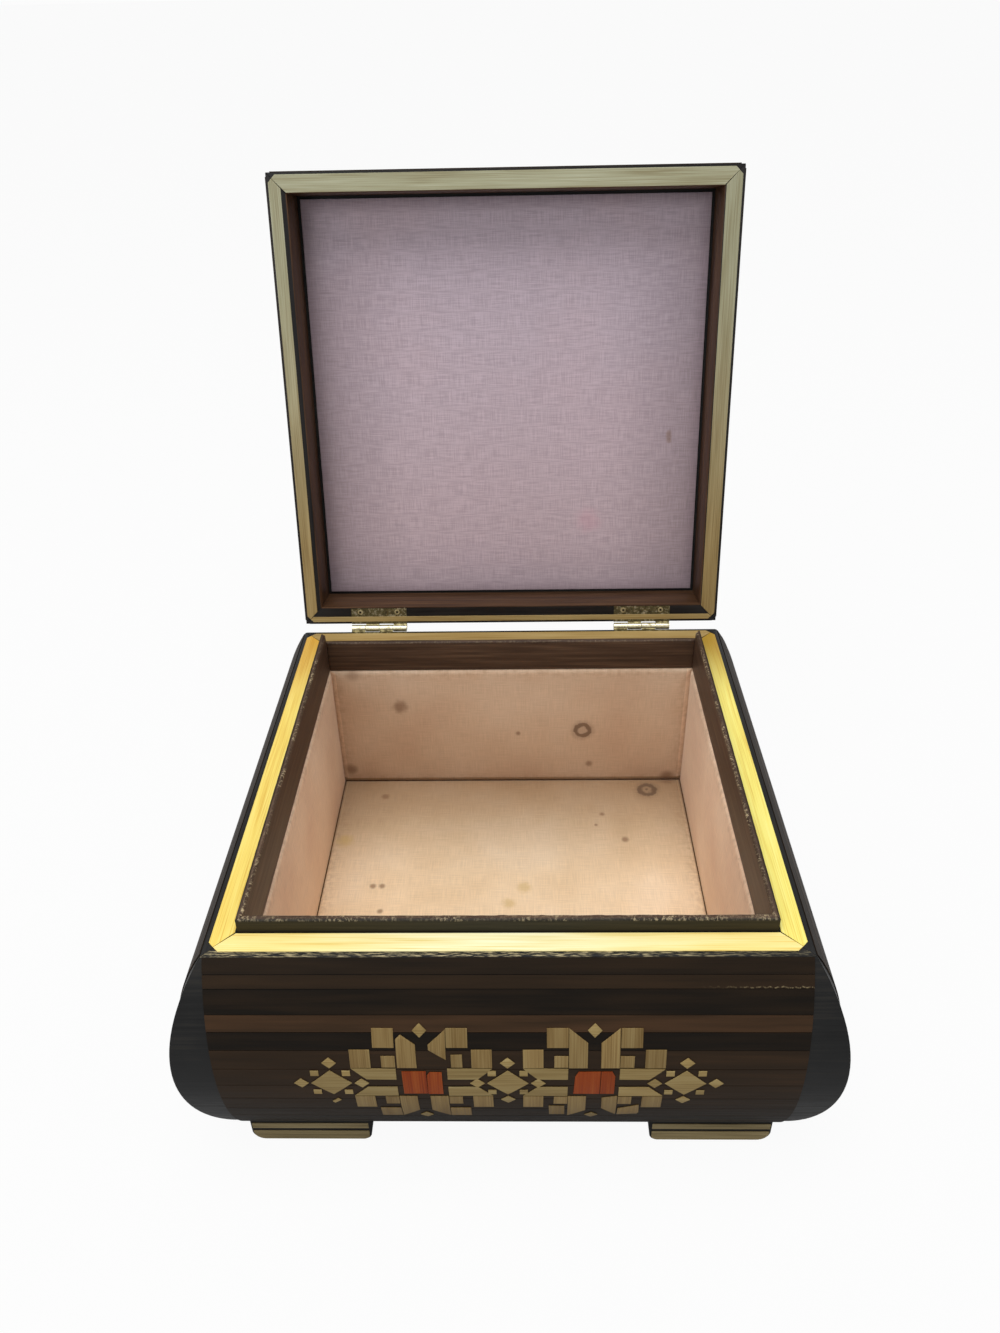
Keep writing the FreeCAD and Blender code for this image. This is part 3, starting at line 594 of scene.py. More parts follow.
stained_straw = Finish("stained_straw", 0.45, specular=0.05)
fine, cloud = straw_lines(stained_straw)
mottle = stained_straw.maths("SUBTRACT", stained_straw.maths("MULTIPLY_ADD", fine, 0.35, cloud), 0.675)
stain_and_shade = stained_straw.maths("MULTIPLY_ADD", mottle, 0.4, stained_straw.attribute("tone"))
stained = stained_straw.ramp(stain_and_shade, *STAINS)
spot = stained_straw.place()
across, depth, height = stained_straw.parts(spot)
at_front = stained_straw.maths("LESS_THAN", depth, FRONT_STRAW)
waver = stained_straw.noise(stained_straw.turned(spot, scale=(420, 0, 0)), 1.0, 2.0)
above = stained_straw.maths("SUBTRACT", height, SCRATCH_HEIGHT - SCRATCH_WAVER / 2)
off_line = stained_straw.maths("MULTIPLY_ADD", waver, -SCRATCH_WAVER, above)
off_line = stained_straw.maths("ABSOLUTE", off_line)
thin_line = stained_straw.span(off_line, SCRATCH_OUTER, SCRATCH_INNER)
scratch = stained_straw.maths("MULTIPLY", thin_line, at_front)
dashes = stained_straw.noise(stained_straw.turned(spot, scale=(900, 0, 0)), 1.0, 2.0)
faint = stained_straw.span(across, SCRATCH_START, SCRATCH_END, 0.0, SCRATCH_STRENGTH)
scratch = stained_straw.maths("MULTIPLY", scratch, faint)
scratch = stained_straw.maths("MULTIPLY", scratch, stained_straw.span(dashes, 0.42, 0.58))
stained_straw.set("Base Color", stained_straw.mix(scratch, stained, tint(190, 170, 128)))
stained_straw.set("Roughness", stained_straw.span(fine, 0.3, 0.7, 0.4, 0.54))
stained_straw.relief(fine, STRAW_RELIEF, 0.5)
print("stained straw finish ready")

# %% [markdown]
# Now the straws are laid. A ribbon's run is its longest way, and a tile's run is given,
# because the ornament's upright tiles are cut from upright straw and its level tiles from
# level straw. Tiles are turned a fraction of a degree, as a hand lays them.

# %% Lay the rims, walls and ornament
SIDES = ("front", "rear", "left", "right")
# The first ranks are the real black and brown bands. The last ranks go darker and darker as painted shade under
# the belly of the wall.
WALL_STAINS_AND_SHADE = (0.12, 0.27, 0.06, 0.46, 0.04, 0.33, 0.32, 0.3, 0.22, 0.12, 0.04, 0.0)
STAIN_LUCK = 0.015
RIM_TONES = (0.97, 1.03)
BAND_TONES = {"front": (0.83, 0.88), "rear": (0.9, 0.96), "left": (0.82, 0.86), "right": (0.76, 0.79)}
FOOT_TONES = (0.85, 1.08)
TILE_TONES = (0.84, 1.1)
RED_TONES = (0.92, 1.06)
LID_TOP_STAINS = (0.22, 0.4)
LID_SIDE_STAINS = (0.2, 0.36)
RIM_GAP, BAND_GAP, FOOT_GAP = 0.18, 0.12, 0.2
VENEER_EDGE = 0.02
TILE_EDGE = 0.05
TILE_SLACK = 0.6

def wall_stain_and_shade(rank, luck):
    return WALL_STAINS_AND_SHADE[min(rank, len(WALL_STAINS_AND_SHADE) - 1)] + luck.uniform(-STAIN_LUCK, STAIN_LUCK)


box_ways = (ACROSS, TO_HINGE["box"])
lid_ways = (ACROSS, TO_HINGE["lid"])
for side in SIDES:
    lay_straws("rim_straw_" + side, straws[side + "_rim"], box_ways, spread(*RIM_TONES), gap=RIM_GAP)
    band_tones = spread(*BAND_TONES[side])
    lay_straws("lid_straw_band_" + side, straws["lid"], lid_ways, band_tones, gap=BAND_GAP)
    lay_straws("veneer_" + side, stained_straw, box_ways, wall_stain_and_shade, edge=VENEER_EDGE)
for side in ("front", "rear"):
    lay_straws("foot_straws_" + side, straws["foot"], (ACROSS,), spread(*FOOT_TONES), gap=FOOT_GAP)
lay_straws("lid_top_veneer", stained_straw, (ACROSS,), spread(*LID_TOP_STAINS), edge=VENEER_EDGE)
lay_straws("lid_side_veneer", stained_straw, lid_ways, spread(*LID_SIDE_STAINS), edge=VENEER_EDGE)
for start, upright in (("inlay_", UPWARD["box"]), ("lid_inlay_", TO_HINGE["lid"])):
    tile_runs = {"upright": upright, "level": ACROSS, "red": upright}
    for kind in TILES:
        tones = spread(*(RED_TONES if kind == "red" else TILE_TONES))
        name = start + kind + "_straw"
        lay_straws(name, straws[kind], (tile_runs[kind],), tones, TILE_EDGE, TILE_SLACK)

# %% [markdown]
# ## Wood
# The bellied walls, the feet and the lid's rails are stained nearly black and lacquered.
# Where hands rub, the lacquer thins and the brown shows. A faint grain and a satin gloss
# keep the black from looking like plastic. The front wall's upper edge carries pale specks,
# partly bare fibres where it is worn through and partly painted glints of light.

# %% Stain the walls and feet
MARGIN_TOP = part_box("rim_straw_front")[0].z
MARGIN_LOW, MARGIN_HIGH = MARGIN_TOP - 0.6 * MM, MARGIN_TOP - 0.2 * MM
MARGIN_FRONT = -98 * MM
FADE_START, FADE_END = 30 * MM, 95 * MM
GRAIN_RELIEF = 0.06 * MM
WALL_EASE, FOOT_EASE = 0.3, 0.4

def bare_and_glinting_margin(finish, spot, strength):
    """Where the front wall's upper edge is worn bare and painted with glints, less at its right end."""
    across, depth, height = finish.parts(spot)
    fibres = finish.noise(finish.turned(spot, scale=(260, 2600, 2600)), 1.0, 3.0, 0.6)
    on_edge = finish.span(height, MARGIN_LOW, MARGIN_HIGH)
    from_left = finish.span(across, FADE_START, FADE_END, strength, 0.3 * strength)
    shine = finish.maths("MULTIPLY", finish.span(fibres, 0.46, 0.64), from_left)
    in_front = finish.maths("LESS_THAN", depth, MARGIN_FRONT)
    return finish.maths("MULTIPLY", shine, finish.maths("MULTIPLY", on_edge, in_front))


def stained_wood(name, grain_scale, colours, roughness=0.42, rubbed_and_glinting=0.0):
    finish = Finish(name, roughness, specular=0.12)
    spot = finish.place()
    grain = finish.noise(finish.turned(spot, scale=grain_scale), 1.0, 4.0, 0.6)
    cloud = finish.noise(spot, 45.0, 2.0)
    both = finish.maths("MULTIPLY_ADD", grain, 0.6, finish.maths("MULTIPLY", cloud, 0.4))
    colour = finish.ramp(both, *zip((0.3, 0.52, 0.7), colours))
    if rubbed_and_glinting:
        colour = finish.mix(bare_and_glinting_margin(finish, spot, rubbed_and_glinting), colour, tint(226, 208, 160))
    finish.set("Base Color", colour)
    finish.set("Roughness", finish.span(grain, 0.3, 0.7, roughness - 0.06, roughness + 0.12))
    finish.relief(grain, GRAIN_RELIEF, 0.5)
    return finish


LEVEL_GRAIN_X = (30, 900, 900)
LEVEL_GRAIN_Y = (900, 30, 900)
BLACK_STAIN = (tint(22, 22, 22), tint(30, 30, 30), tint(43, 41, 38))
BARE_BOARD = (tint(92, 66, 44), tint(122, 92, 64), tint(146, 114, 82))
front_wood = stained_wood("front_wall_wood", LEVEL_GRAIN_X, BLACK_STAIN, rubbed_and_glinting=0.55)
wall_wood_x = stained_wood("wall_wood_level", LEVEL_GRAIN_X, BLACK_STAIN)
wall_wood_y = stained_wood("wall_wood_side", LEVEL_GRAIN_Y, BLACK_STAIN)
wall_woods = {"front": front_wood, "rear": wall_wood_x, "left": wall_wood_y, "right": wall_wood_y}
for side in SIDES:
    eased_copy(side + "_wall", wall_woods[side], WALL_EASE)
for foot in [node for node in nodes if node.startswith("foot_") and "straws" not in node]:
    eased_copy(foot, wall_wood_x, FOOT_EASE)
coat("bottom_panel", stained_wood("bare_board", LEVEL_GRAIN_X, BARE_BOARD, 0.6))
coat("lid_top_panel", wall_wood_x)
print("walls and feet stained")

# %% [markdown]
# The lip is a thin strip of wood glued inside the walls, and the lid drops over it. Its
# inner upper edge has been rubbed for years, so it is rough, while its outer face is nearly
# black. The edge is cut into short lengths and moved up and down a little, and the finish
# turns pale only along that edge: partly bare fibres, and partly painted glints of light.
# The front strip has these pale specks over its whole top, and the rear one hardly any.

# %% Wear the lip
LIP_WEAR = 0.3
LIP_STEP = 1.6
LIP_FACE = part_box("lip_front")[1].y
LIP_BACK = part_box("lip_front")[0].y
LIP_EASE = 0.5 * MM
LIP_RELIEF = 0.1 * MM
LONG_EDGE = 20 * MM
WEAR_DEPTH = 2 * MM
WEAR_SCALE = 420
BLACK_EDGE, BROWN_EDGE = 0.3 * MM, 0.9 * MM
GLINT_DEPTH, GLINT_FULL = 1.1 * MM, 0.3 * MM
GLINT_FADE = 0.7 * MM

def rough_lengths(bm, run, step):
    """Cuts the edges along the run into short lengths."""
    long_ones = []
    for edge in bm.edges:
        way = edge.verts[1].co - edge.verts[0].co
        if way.length > LONG_EDGE and abs(way.normalized().dot(run)) > 0.99:
            long_ones.append(edge)
    cuts = int(max(edge.calc_length() for edge in long_ones) / (step * MM))
    bmesh.ops.subdivide_edges(bm, edges=long_ones, cuts=cuts, use_grid_fill=True)


def lip_wood(name, grain_scale, top, glints, width):
    finish = Finish(name, 0.5, specular=0.2)
    spot = finish.place()
    grain = finish.noise(finish.turned(spot, scale=grain_scale), 1.0, 4.0, 0.65)
    browns = ((0.3, tint(52, 37, 28)), (0.5, tint(72, 54, 42)), (0.72, tint(94, 73, 57)))
    brown = finish.ramp(grain, *browns)
    black = finish.ramp(grain, (0.3, tint(31, 28, 21)), (0.7, tint(51, 45, 34)))
    x, y, height = finish.parts(spot)
    ring = finish.maths("MAXIMUM", finish.maths("ABSOLUTE", x), finish.maths("ABSOLUTE", y))
    outer = finish.span(ring, -LIP_BACK - BROWN_EDGE, -LIP_BACK - BLACK_EDGE)
    colour = finish.mix(outer, brown, black)
    chips = finish.noise(finish.turned(spot, scale=(1, 1, 0.4)), 1000.0, 4.0, 0.7)
    near_top = finish.span(height, top - GLINT_DEPTH, top - GLINT_FULL)
    worn_to = width * MM - LIP_FACE
    worn_edge = finish.span(ring, worn_to, worn_to - GLINT_FADE)
    patches = finish.span(finish.noise(spot, 90.0, 2.0), 0.4, 0.62, 0.1, glints)
    edge = finish.maths("MULTIPLY", finish.maths("MULTIPLY", near_top, worn_edge), patches)
    # Pale specks along the worn edge: bare fibres and painted glints of light.
    bare_and_glints = finish.maths("MULTIPLY", edge, finish.span(chips, 0.48, 0.62))
    finish.set("Base Color", finish.mix(bare_and_glints, colour, tint(206, 186, 146)))
    finish.set("Roughness", finish.span(bare_and_glints, 0.0, 1.0, 0.5, 0.32))
    finish.relief(finish.maths("ADD", grain, bare_and_glints), LIP_RELIEF, 0.5)
    return finish


LIP_GRAIN = {"X": (26, 800, 800), "Y": (800, 26, 800)}
LIP_GLINTS = {"front": (0.6, 3.4), "rear": (0.12, 1.2), "left": (0.8, 1.5), "right": (0.8, 1.5)}
for side in SIDES:
    run = "X" if side in ("front", "rear") else "Y"
    way = ACROSS if run == "X" else TO_HINGE["box"]
    lip_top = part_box("lip_" + side)[1].z
    wood = lip_wood("lip_wood_" + side, LIP_GRAIN[run], lip_top, *LIP_GLINTS[side])
    bm = welded("lip_" + side)
    ease(bm, sharp_edges(bm), LIP_EASE, 2)
    rough_lengths(bm, way, LIP_STEP)
    for vert in bm.verts:
        top = max(0.0, 1 - (lip_top - vert.co.z) / WEAR_DEPTH)
        vert.co.z -= LIP_WEAR * MM * top * (0.5 + noise.noise(vert.co * WEAR_SCALE))
    settle(bm, "lip_" + side, "worn_lip_" + side, wood)
print("lip worn by up to", LIP_WEAR, "mm")

# %% [markdown]
# The lid's rails are black where they meet the box and brown on their inner faces, where
# the stain was wiped thin. The finish works on the closed lid's coordinates, so the inner
# faces are simply what lies within a square.

# %% Stain the lid's rails
RAIL_INNER = 92.15 * MM
RAIL_EASE = 0.25

def rail_wood(name, grain_scale):
    finish = Finish(name, 0.46, specular=0.16)
    spot = finish.shut_place()
    grain = finish.noise(finish.turned(spot, scale=grain_scale), 1.0, 4.0, 0.6)
    x, y = finish.parts(spot)[:2]
    ring = finish.maths("MAXIMUM", finish.maths("ABSOLUTE", x), finish.maths("ABSOLUTE", y))
    inside = finish.maths("LESS_THAN", ring, RAIL_INNER)
    black = finish.ramp(grain, (0.3, tint(20, 19, 20)), (0.7, tint(36, 33, 32)))
    browns = ((0.3, tint(50, 33, 21)), (0.52, tint(74, 51, 34)), (0.7, tint(96, 70, 49)))
    brown = finish.ramp(grain, *browns)
    finish.set("Base Color", finish.mix(inside, black, brown))
    finish.set("Roughness", finish.span(grain, 0.3, 0.7, 0.34, 0.52))
    finish.relief(grain, GRAIN_RELIEF, 0.5)
    return finish


rail_x = rail_wood("rail_wood_level", LIP_GRAIN["X"])
rail_y = rail_wood("rail_wood_side", LIP_GRAIN["Y"])
for side in SIDES:
    eased_copy("lid_rail_" + side, rail_x if side in ("front", "rear") else rail_y, RAIL_EASE)
print("rails stained")

# %% [markdown]
# ## Brass
# The hinges are thin brass sheet with rolled knuckles, dulled by age. Dark spots and a
# greenish grey film lie over a yellow metal, so noise mixes the colour and the roughness
# together: where the film is thick, the metal is dark and matt. The knuckles, which
# fingers and the turning lid rub, are paler, so nearness to the hinge line adds shine.
# A nail's head is bright round its edge and has a dark pit in the middle.

# %% Age the brass
RUB_OUTER, RUB_INNER = 2.1 * MM, 1.7 * MM
HEAD_LAYER = 0.05 * MM
BRASS_RELIEF = 0.1 * MM
PIT_SHARE = 0.6
NAIL_EASE, LEAF_EASE = 0.12, 0.08
LEAF_SHADES = (tint(56, 50, 35), tint(96, 87, 58), tint(204, 197, 168))
NAIL_SHADES = (tint(108, 97, 68), tint(170, 156, 116), tint(214, 204, 168))

def aged_brass(name, film, metal, bright, pits=(), pit_radius=0.0):
    finish = Finish(name, 0.42, metallic=0.9)
    spot = finish.place()
    patches = finish.noise(spot, 420.0, 4.0, 0.65)
    specks = finish.noise(spot, 1500.0, 2.0)
    dull = finish.maths("MULTIPLY_ADD", patches, 0.7, finish.maths("MULTIPLY", specks, 0.3))
    y, z = finish.parts(spot)[1:]
    behind = finish.maths("SUBTRACT", y, HINGE_LINE.y)
    above = finish.maths("SUBTRACT", z, HINGE_LINE.z)
    square = finish.maths("MULTIPLY_ADD", behind, behind, finish.maths("MULTIPLY", above, above))
    rubbed_and_glinting = finish.span(finish.maths("SQRT", square), RUB_OUTER, RUB_INNER, 0.0, 0.22)
    shine = finish.maths("ADD", dull, rubbed_and_glinting)
    colour = finish.ramp(shine, (0.36, film), (0.52, metal), (0.72, bright))
    for pit in pits:
        dark = finish.span(finish.distance(spot, pit), pit_radius, 0.5 * pit_radius)
        colour = finish.mix(dark, colour, tint(38, 31, 22))
    finish.set("Base Color", colour)
    finish.set("Roughness", finish.span(shine, 0.35, 0.7, 0.6, 0.3))
    finish.relief(dull, BRASS_RELIEF, 0.5)
    return finish


def nail_heads(node, outward):
    """The middles of the nails' heads and the radius of a head."""
    bm = welded(node)
    bm.verts.index_update()
    middles = []
    for group in islands_of(bm):
        points = points_of(group)
        highest = max(point.co.dot(outward) for point in points)
        head = [point.co for point in points if point.co.dot(outward) > highest - HEAD_LAYER]
        middles.append(sum(head, Vector()) / len(head))
    radius = reach(points, ACROSS) / 2
    bm.free()
    return middles, radius


brass = aged_brass("aged_brass", *LEAF_SHADES)
for part in [node for node in nodes if node.startswith("hinge_")]:
    if "nails" in part:
        facing = UPWARD["box"] if body_of[part] == "box" else -UPWARD["lid"]
        heads, head_radius = nail_heads(part, facing)
        worn = aged_brass("worn_" + part, *NAIL_SHADES, heads, PIT_SHARE * head_radius)
        eased_copy(part, worn, NAIL_EASE)
        print(part, len(heads), "heads of radius", round(head_radius / MM, 2), "mm")
    else:
        eased_copy(part, brass, LEAF_EASE, 1)
print("brass parts:", sum(node.startswith("hinge_") for node in nodes))

# %% [markdown]
# ## Lining
# Five cards wrapped in peach cloth line the box, and a sheet of mauve linen over card
# fills the lid. A padded card has a flat back, rolled edges and a face that swells. Each
# starts as a grid, its points are rolled at the border, the back is bridged to it, and
# air pressure in a short cloth simulation swells the face. The border is held, so the
# cards keep to the place of their solids.

# %% Sew the pads
ROLL = 2.2 * MM
BACK_GAP = 0.1 * MM
CLOTH_FRAMES = 16
CLOTH_QUALITY = 6
CLOTH_MASS = 0.15
AIR_PRESSURE = 3.0
HELD_INSET = 1.4
MITRED, SQUARE_ENDS = 1.0, 0.0
PAD_CREASE = math.radians(80)

def gather(step):
    """Moves the grid's lines closer together towards the border."""
    return 1.5 * step - 0.5 * step ** 3


def pad_mesh(half_wide, half_high, face, border, mitre, cells):
    bm = bmesh.new()
    bmesh.ops.create_grid(bm, x_segments=cells[0], y_segments=cells[1], size=1.0)
    cloth_map = bm.loops.layers.uv.new("cloth")
    inset = bm.verts.layers.float.new("inset")
    for vert in bm.verts:
        wide, high = gather(vert.co.x), gather(vert.co.y)
        from_edge = min((1 - abs(wide)) * half_wide, (1 - abs(high)) * half_high)
        rise = math.sqrt(1 - (1 - min(from_edge / ROLL, 1)) ** 2)
        depth = border + (face - border) * rise
        vert[inset] = from_edge / MM
        vert.co = (wide * (half_wide - depth * mitre), high * half_high, depth)
    for loop in (loop for front in bm.faces for loop in front.loops):
        loop[cloth_map].uv = (loop.vert.co.x / MM, loop.vert.co.y / MM)
    rim = [edge for edge in bm.edges if edge.is_boundary]
    copied = bmesh.ops.duplicate(bm, geom=bm.verts[:] + bm.edges[:] + bm.faces[:])["geom"]
    backing = [item for item in copied if isinstance(item, bmesh.types.BMVert)]
    for vert in backing:
        vert.co.z = BACK_GAP
        vert[inset] = -1.0
    copied_edges = [item for item in copied if isinstance(item, bmesh.types.BMEdge)]
    back_rim = [edge for edge in copied_edges if edge.is_boundary]
    bmesh.ops.bridge_loops(bm, edges=rim + back_rim)
    bmesh.ops.recalc_face_normals(bm, faces=bm.faces)
    return bm


def swell(piece, most):
    """Swells a pad's face by a short cloth simulation and keeps it within a limit."""
    held = piece.vertex_groups.new(name="held")
    insets = piece.data.attributes["inset"].data
    for vert, spot in zip(piece.data.vertices, insets):
        held.add([vert.index], 1.0 if spot.value < HELD_INSET else 0.0, "REPLACE")
    before = [vert.co.copy() for vert in piece.data.vertices]
    air = piece.modifiers.new("air", "CLOTH")
    air.settings.quality = CLOTH_QUALITY
    air.settings.mass = CLOTH_MASS
    air.settings.use_pressure = True
    air.settings.uniform_pressure_force = AIR_PRESSURE
    air.settings.vertex_group_mass = "held"
    air.settings.effector_weights.gravity = 0
    air.point_cache.frame_start = 1
    air.point_cache.frame_end = CLOTH_FRAMES
    for moment in range(1, CLOTH_FRAMES + 1):
        scene.frame_set(moment)
    settled = piece.evaluated_get(bpy.context.evaluated_depsgraph_get()).data
    after = [vert.co.copy() for vert in settled.vertices]
    piece.modifiers.remove(air)
    piece.vertex_groups.remove(held)
    scene.frame_set(1)
    furthest = max((new - old).length for new, old in zip(after, before))
    scale = min(1.0, most / furthest) if furthest > 0 else 0.0
    for vert, old, new in zip(piece.data.vertices, before, after):
        vert.co = old + (new - old) * scale
    return furthest


def sew_pad(node, finish, seat, sizes, cells, most):
    bm = pad_mesh(*sizes, cells)
    bmesh.ops.transform(bm, matrix=seat, verts=bm.verts)
    piece = settle(bm, node, "padded_" + node, finish)
    piece.data.set_sharp_from_angle(angle=PAD_CREASE)
    grown = swell(piece, most)
    print(node, "grew", round(grown / MM, 2), "mm before the limit")


# %% [markdown]
# Old cloth is never one colour. The peach cotton has a fine weave and carries a handful of
# brown spots and two rings that something left. Its colour also holds painted light: it is
# lighter at the front and darker and browner towards the back, as painted shade where the
# open lid keeps the light off. Along the borders where the pads meet, it is browner from
# grime and from painted shade. Each mark has a place and a radius in millimetres, and a
# kind: a soft disc, a ring with a frayed outline, or a ring with a dark middle, an eye.

# %% Mix the lining cloth
REAR_MARKS = (
    (-55.0, 64.9, 4.6, "blot"), (35.8, 49.8, 5.0, "ring"), (39.7, 27.8, 2.2, "blot"),
    (3.4, 48.2, 1.5, "blot"), (-83.5, 24.7, 4.0, "blot"), (-77.1, 83.7, 4.5, "rub"),
    (80.3, 18.9, 4.5, "blot"),
)
FLOOR_MARKS = (
    (69.2, 78.1, 5.6, "eye"), (44.9, 59.3, 1.7, "blot"), (41.4, 51.3, 1.1, "blot"),
    (54.8, 41.0, 2.2, "blot"), (-64.8, 73.6, 2.4, "blot"), (-63.8, 10.8, 1.9, "blot"),
    (-59.6, 10.8, 1.9, "blot"), (-58.8, -4.5, 1.6, "blot"), (5.8, 9.3, 4.0, "faint"),
    (-1.0, -0.5, 3.5, "faint"), (-81.0, 41.4, 5.0, "faint"),
)
REAR_FACE = 86.0
SIDE_FACE = 85.3 * MM
FLOOR_FACE = 17.6
FLOOR_TOP = 18.5 * MM
REAR_SHADE_START, REAR_SHADE_END = -10 * MM, 88 * MM
FLOOR_SHADE_START, FLOOR_SHADE_END = 10 * MM, 90 * MM
FLOOR_SHADE = (0.58, 0.49, 0.42, 1.0)
GRIME_AND_SHADE_REACH = 9.0
GRIME_AND_SHADE_STRENGTH = 0.3
PEACH_WALLS = ((0.3, tint(231, 195, 164)), (0.5, tint(238, 206, 175)), (0.7, tint(244, 215, 186)))
PEACH_FLOOR = ((0.3, tint(232, 204, 166)), (0.5, tint(240, 214, 178)), (0.7, tint(245, 222, 190)))
THREAD_SHARE = 0.035
WEAVE_RELIEF = 0.12 * MM
MARK_STRENGTH = {"blot": 0.7, "ring": 0.85, "eye": 0.9, "rub": 0.45, "faint": 0.5, "pink": 0.22}
MARK_FRAY = {"blot": 0.6, "ring": 0.45, "eye": 0.5, "rub": 0.7, "faint": 0.9, "pink": 0.9}
MARK_COLOUR = {
    "blot": tint(126, 94, 70), "rub": tint(128, 98, 76), "ring": tint(108, 82, 62),
    "eye": tint(100, 78, 60), "faint": tint(202, 172, 104), "pink": tint(214, 150, 164),
}

def weave_of(finish, thread):
    """Crossing threads of uneven thickness, as a height from 0 to 1."""
    cloth = finish.map("cloth")
    long_way = THREAD_SHARE / thread
    weft = finish.noise(finish.turned(cloth, scale=(long_way, 1 / thread, 1)), 1.0, 2.0)
    warp = finish.noise(finish.turned(cloth, scale=(1 / thread, long_way, 1)), 1.0, 2.0)
    return finish.maths("MULTIPLY", finish.maths("ADD", weft, warp), 0.5)


def mark(finish, spot, fray, centre, radius, kind):
    """How strongly a mark stains the cloth, from its middle outwards."""
    away = finish.maths("DIVIDE", finish.distance(spot, centre), radius * MM)
    frayed = MARK_FRAY[kind]
    away = finish.maths("MULTIPLY_ADD", fray, frayed, finish.maths("SUBTRACT", away, frayed / 2))
    if kind in ("ring", "eye"):
        disc = finish.span(away, 1.05, 0.8, 0.0, MARK_STRENGTH[kind])
        hole = finish.span(away, 0.58, 0.34, 0.0, 0.6)
        halo = finish.span(away, 1.5, 0.9, 0.0, 0.25)
        ring = finish.maths("MAXIMUM", finish.maths("SUBTRACT", disc, hole), halo)
        if kind == "ring":
            return ring
        return finish.maths("MAXIMUM", ring, finish.span(away, 0.3, 0.1, 0.0, 0.85))
    return finish.span(away, 1.2, 0.25, 0.0, MARK_STRENGTH[kind])


def stain_all(finish, spot, fray, colour, places):
    """Lays each mark over the colour, in the tint of its kind."""
    for centre, radius, kind in places:
        made = mark(finish, spot, fray, [part * MM for part in centre], radius, kind)
        colour = finish.mix(made, colour, MARK_COLOUR[kind])
    return colour


lining_cloth = Finish("lining_cloth", 0.85, specular=0.15)
lining_cloth.set("Sheen Weight", 0.15)
spot = lining_cloth.place()
weave = weave_of(lining_cloth, 0.34)
cloud = lining_cloth.noise(spot, 26.0, 3.0)
fray = lining_cloth.noise(spot, 420.0, 3.0)
across, depth, height = lining_cloth.parts(spot)
on_floor = lining_cloth.maths("LESS_THAN", height, FLOOR_TOP)
on_walls = lining_cloth.ramp(cloud, *PEACH_WALLS)
peach = lining_cloth.mix(on_floor, on_walls, lining_cloth.ramp(cloud, *PEACH_FLOOR))
threads = lining_cloth.span(weave, 0.36, 0.64, 0.91, 1.06)
from_middle = lining_cloth.maths("ABSOLUTE", across)
on_side = lining_cloth.maths("GREATER_THAN", from_middle, SIDE_FACE)
# Painted light and shade: the cloth is lighter at the front and darker towards the back, less so on the side pads,
# and the floor is darker again at its back.
far_shade = lining_cloth.maths("MULTIPLY_ADD", on_side, 0.18, 0.69)
light_to_shade = lining_cloth.span(depth, REAR_SHADE_START, REAR_SHADE_END, 1.04, far_shade)
cloth_colour = lining_cloth.value(peach, lining_cloth.maths("MULTIPLY", threads, light_to_shade))
to_rear = lining_cloth.span(depth, FLOOR_SHADE_START, FLOOR_SHADE_END)
floor_back_shade = lining_cloth.maths("MULTIPLY", on_floor, to_rear)
cloth_colour = lining_cloth.mix(floor_back_shade, cloth_colour, FLOOR_SHADE, "MULTIPLY")
# Grime and painted shade along the pads' borders, where they meet.
from_edge = lining_cloth.attribute("inset")
near_edge = lining_cloth.span(from_edge, GRIME_AND_SHADE_REACH, 0.0, 0.0, GRIME_AND_SHADE_STRENGTH)
grime_and_shade = lining_cloth.maths("MULTIPLY", near_edge, lining_cloth.span(fray, 0.35, 0.75))
cloth_colour = lining_cloth.mix(grime_and_shade, cloth_colour, tint(150, 112, 82))
rear_places = [((x, REAR_FACE, z), radius, kind) for x, z, radius, kind in REAR_MARKS]
floor_places = [((x, y, FLOOR_FACE), radius, kind) for x, y, radius, kind in FLOOR_MARKS]
cloth_colour = stain_all(lining_cloth, spot, fray, cloth_colour, rear_places + floor_places)
lining_cloth.set("Base Color", cloth_colour)
lining_cloth.relief(weave, WEAVE_RELIEF, 0.6)
print("marks on the lining:", len(REAR_MARKS) + len(FLOOR_MARKS))

# %% [markdown]
# The pads sit against the walls. A wall pad's ends are mitred, so its width shrinks with
# its depth, and four of the same pad are turned round the box.

# %% Line the box
wall_low, wall_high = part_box("lining_rear")
WALL_HALF = wall_high.x
WALL_MIDDLE = (wall_low.z + wall_high.z) / 2
WALL_HIGH_HALF = (wall_high.z - wall_low.z) / 2
WALL_FACE = 3.3 * MM
PAD_BORDER = 1.2 * MM
WALL_CELLS = (56, 28)
WALL_SWELL = 1.1 * MM

rear_seat = Matrix((
    (1, 0, 0, 0),
    (0, 0, -1, wall_high.y),
    (0, 1, 0, WALL_MIDDLE),
    (0, 0, 0, 1),
))
for quarter, side in enumerate(("rear", "left", "front", "right")):
    seat = Matrix.Rotation(math.radians(90 * quarter), 4, "Z") @ rear_seat
    sizes = (WALL_HALF, WALL_HIGH_HALF, WALL_FACE, PAD_BORDER, MITRED)
    sew_pad("lining_" + side, lining_cloth, seat, sizes, WALL_CELLS, WALL_SWELL)

floor_low, floor_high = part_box("lining_floor")
UNDER_WALLS = 0.5 * MM
FLOOR_HALF_WIDE = floor_high.x + UNDER_WALLS
FLOOR_BORDER = 0.6 * MM
FLOOR_SWELL = 0.9 * MM
FLOOR_RISE = floor_high.z - floor_low.z - FLOOR_SWELL
SQUARE_CELLS = (56, 56)
floor_seat = Matrix.Translation((0, 0, floor_low.z))
floor_sizes = (FLOOR_HALF_WIDE, FLOOR_HALF_WIDE, FLOOR_RISE, FLOOR_BORDER, SQUARE_ENDS)
sew_pad("lining_floor", lining_cloth, floor_seat, floor_sizes, SQUARE_CELLS, FLOOR_SWELL)

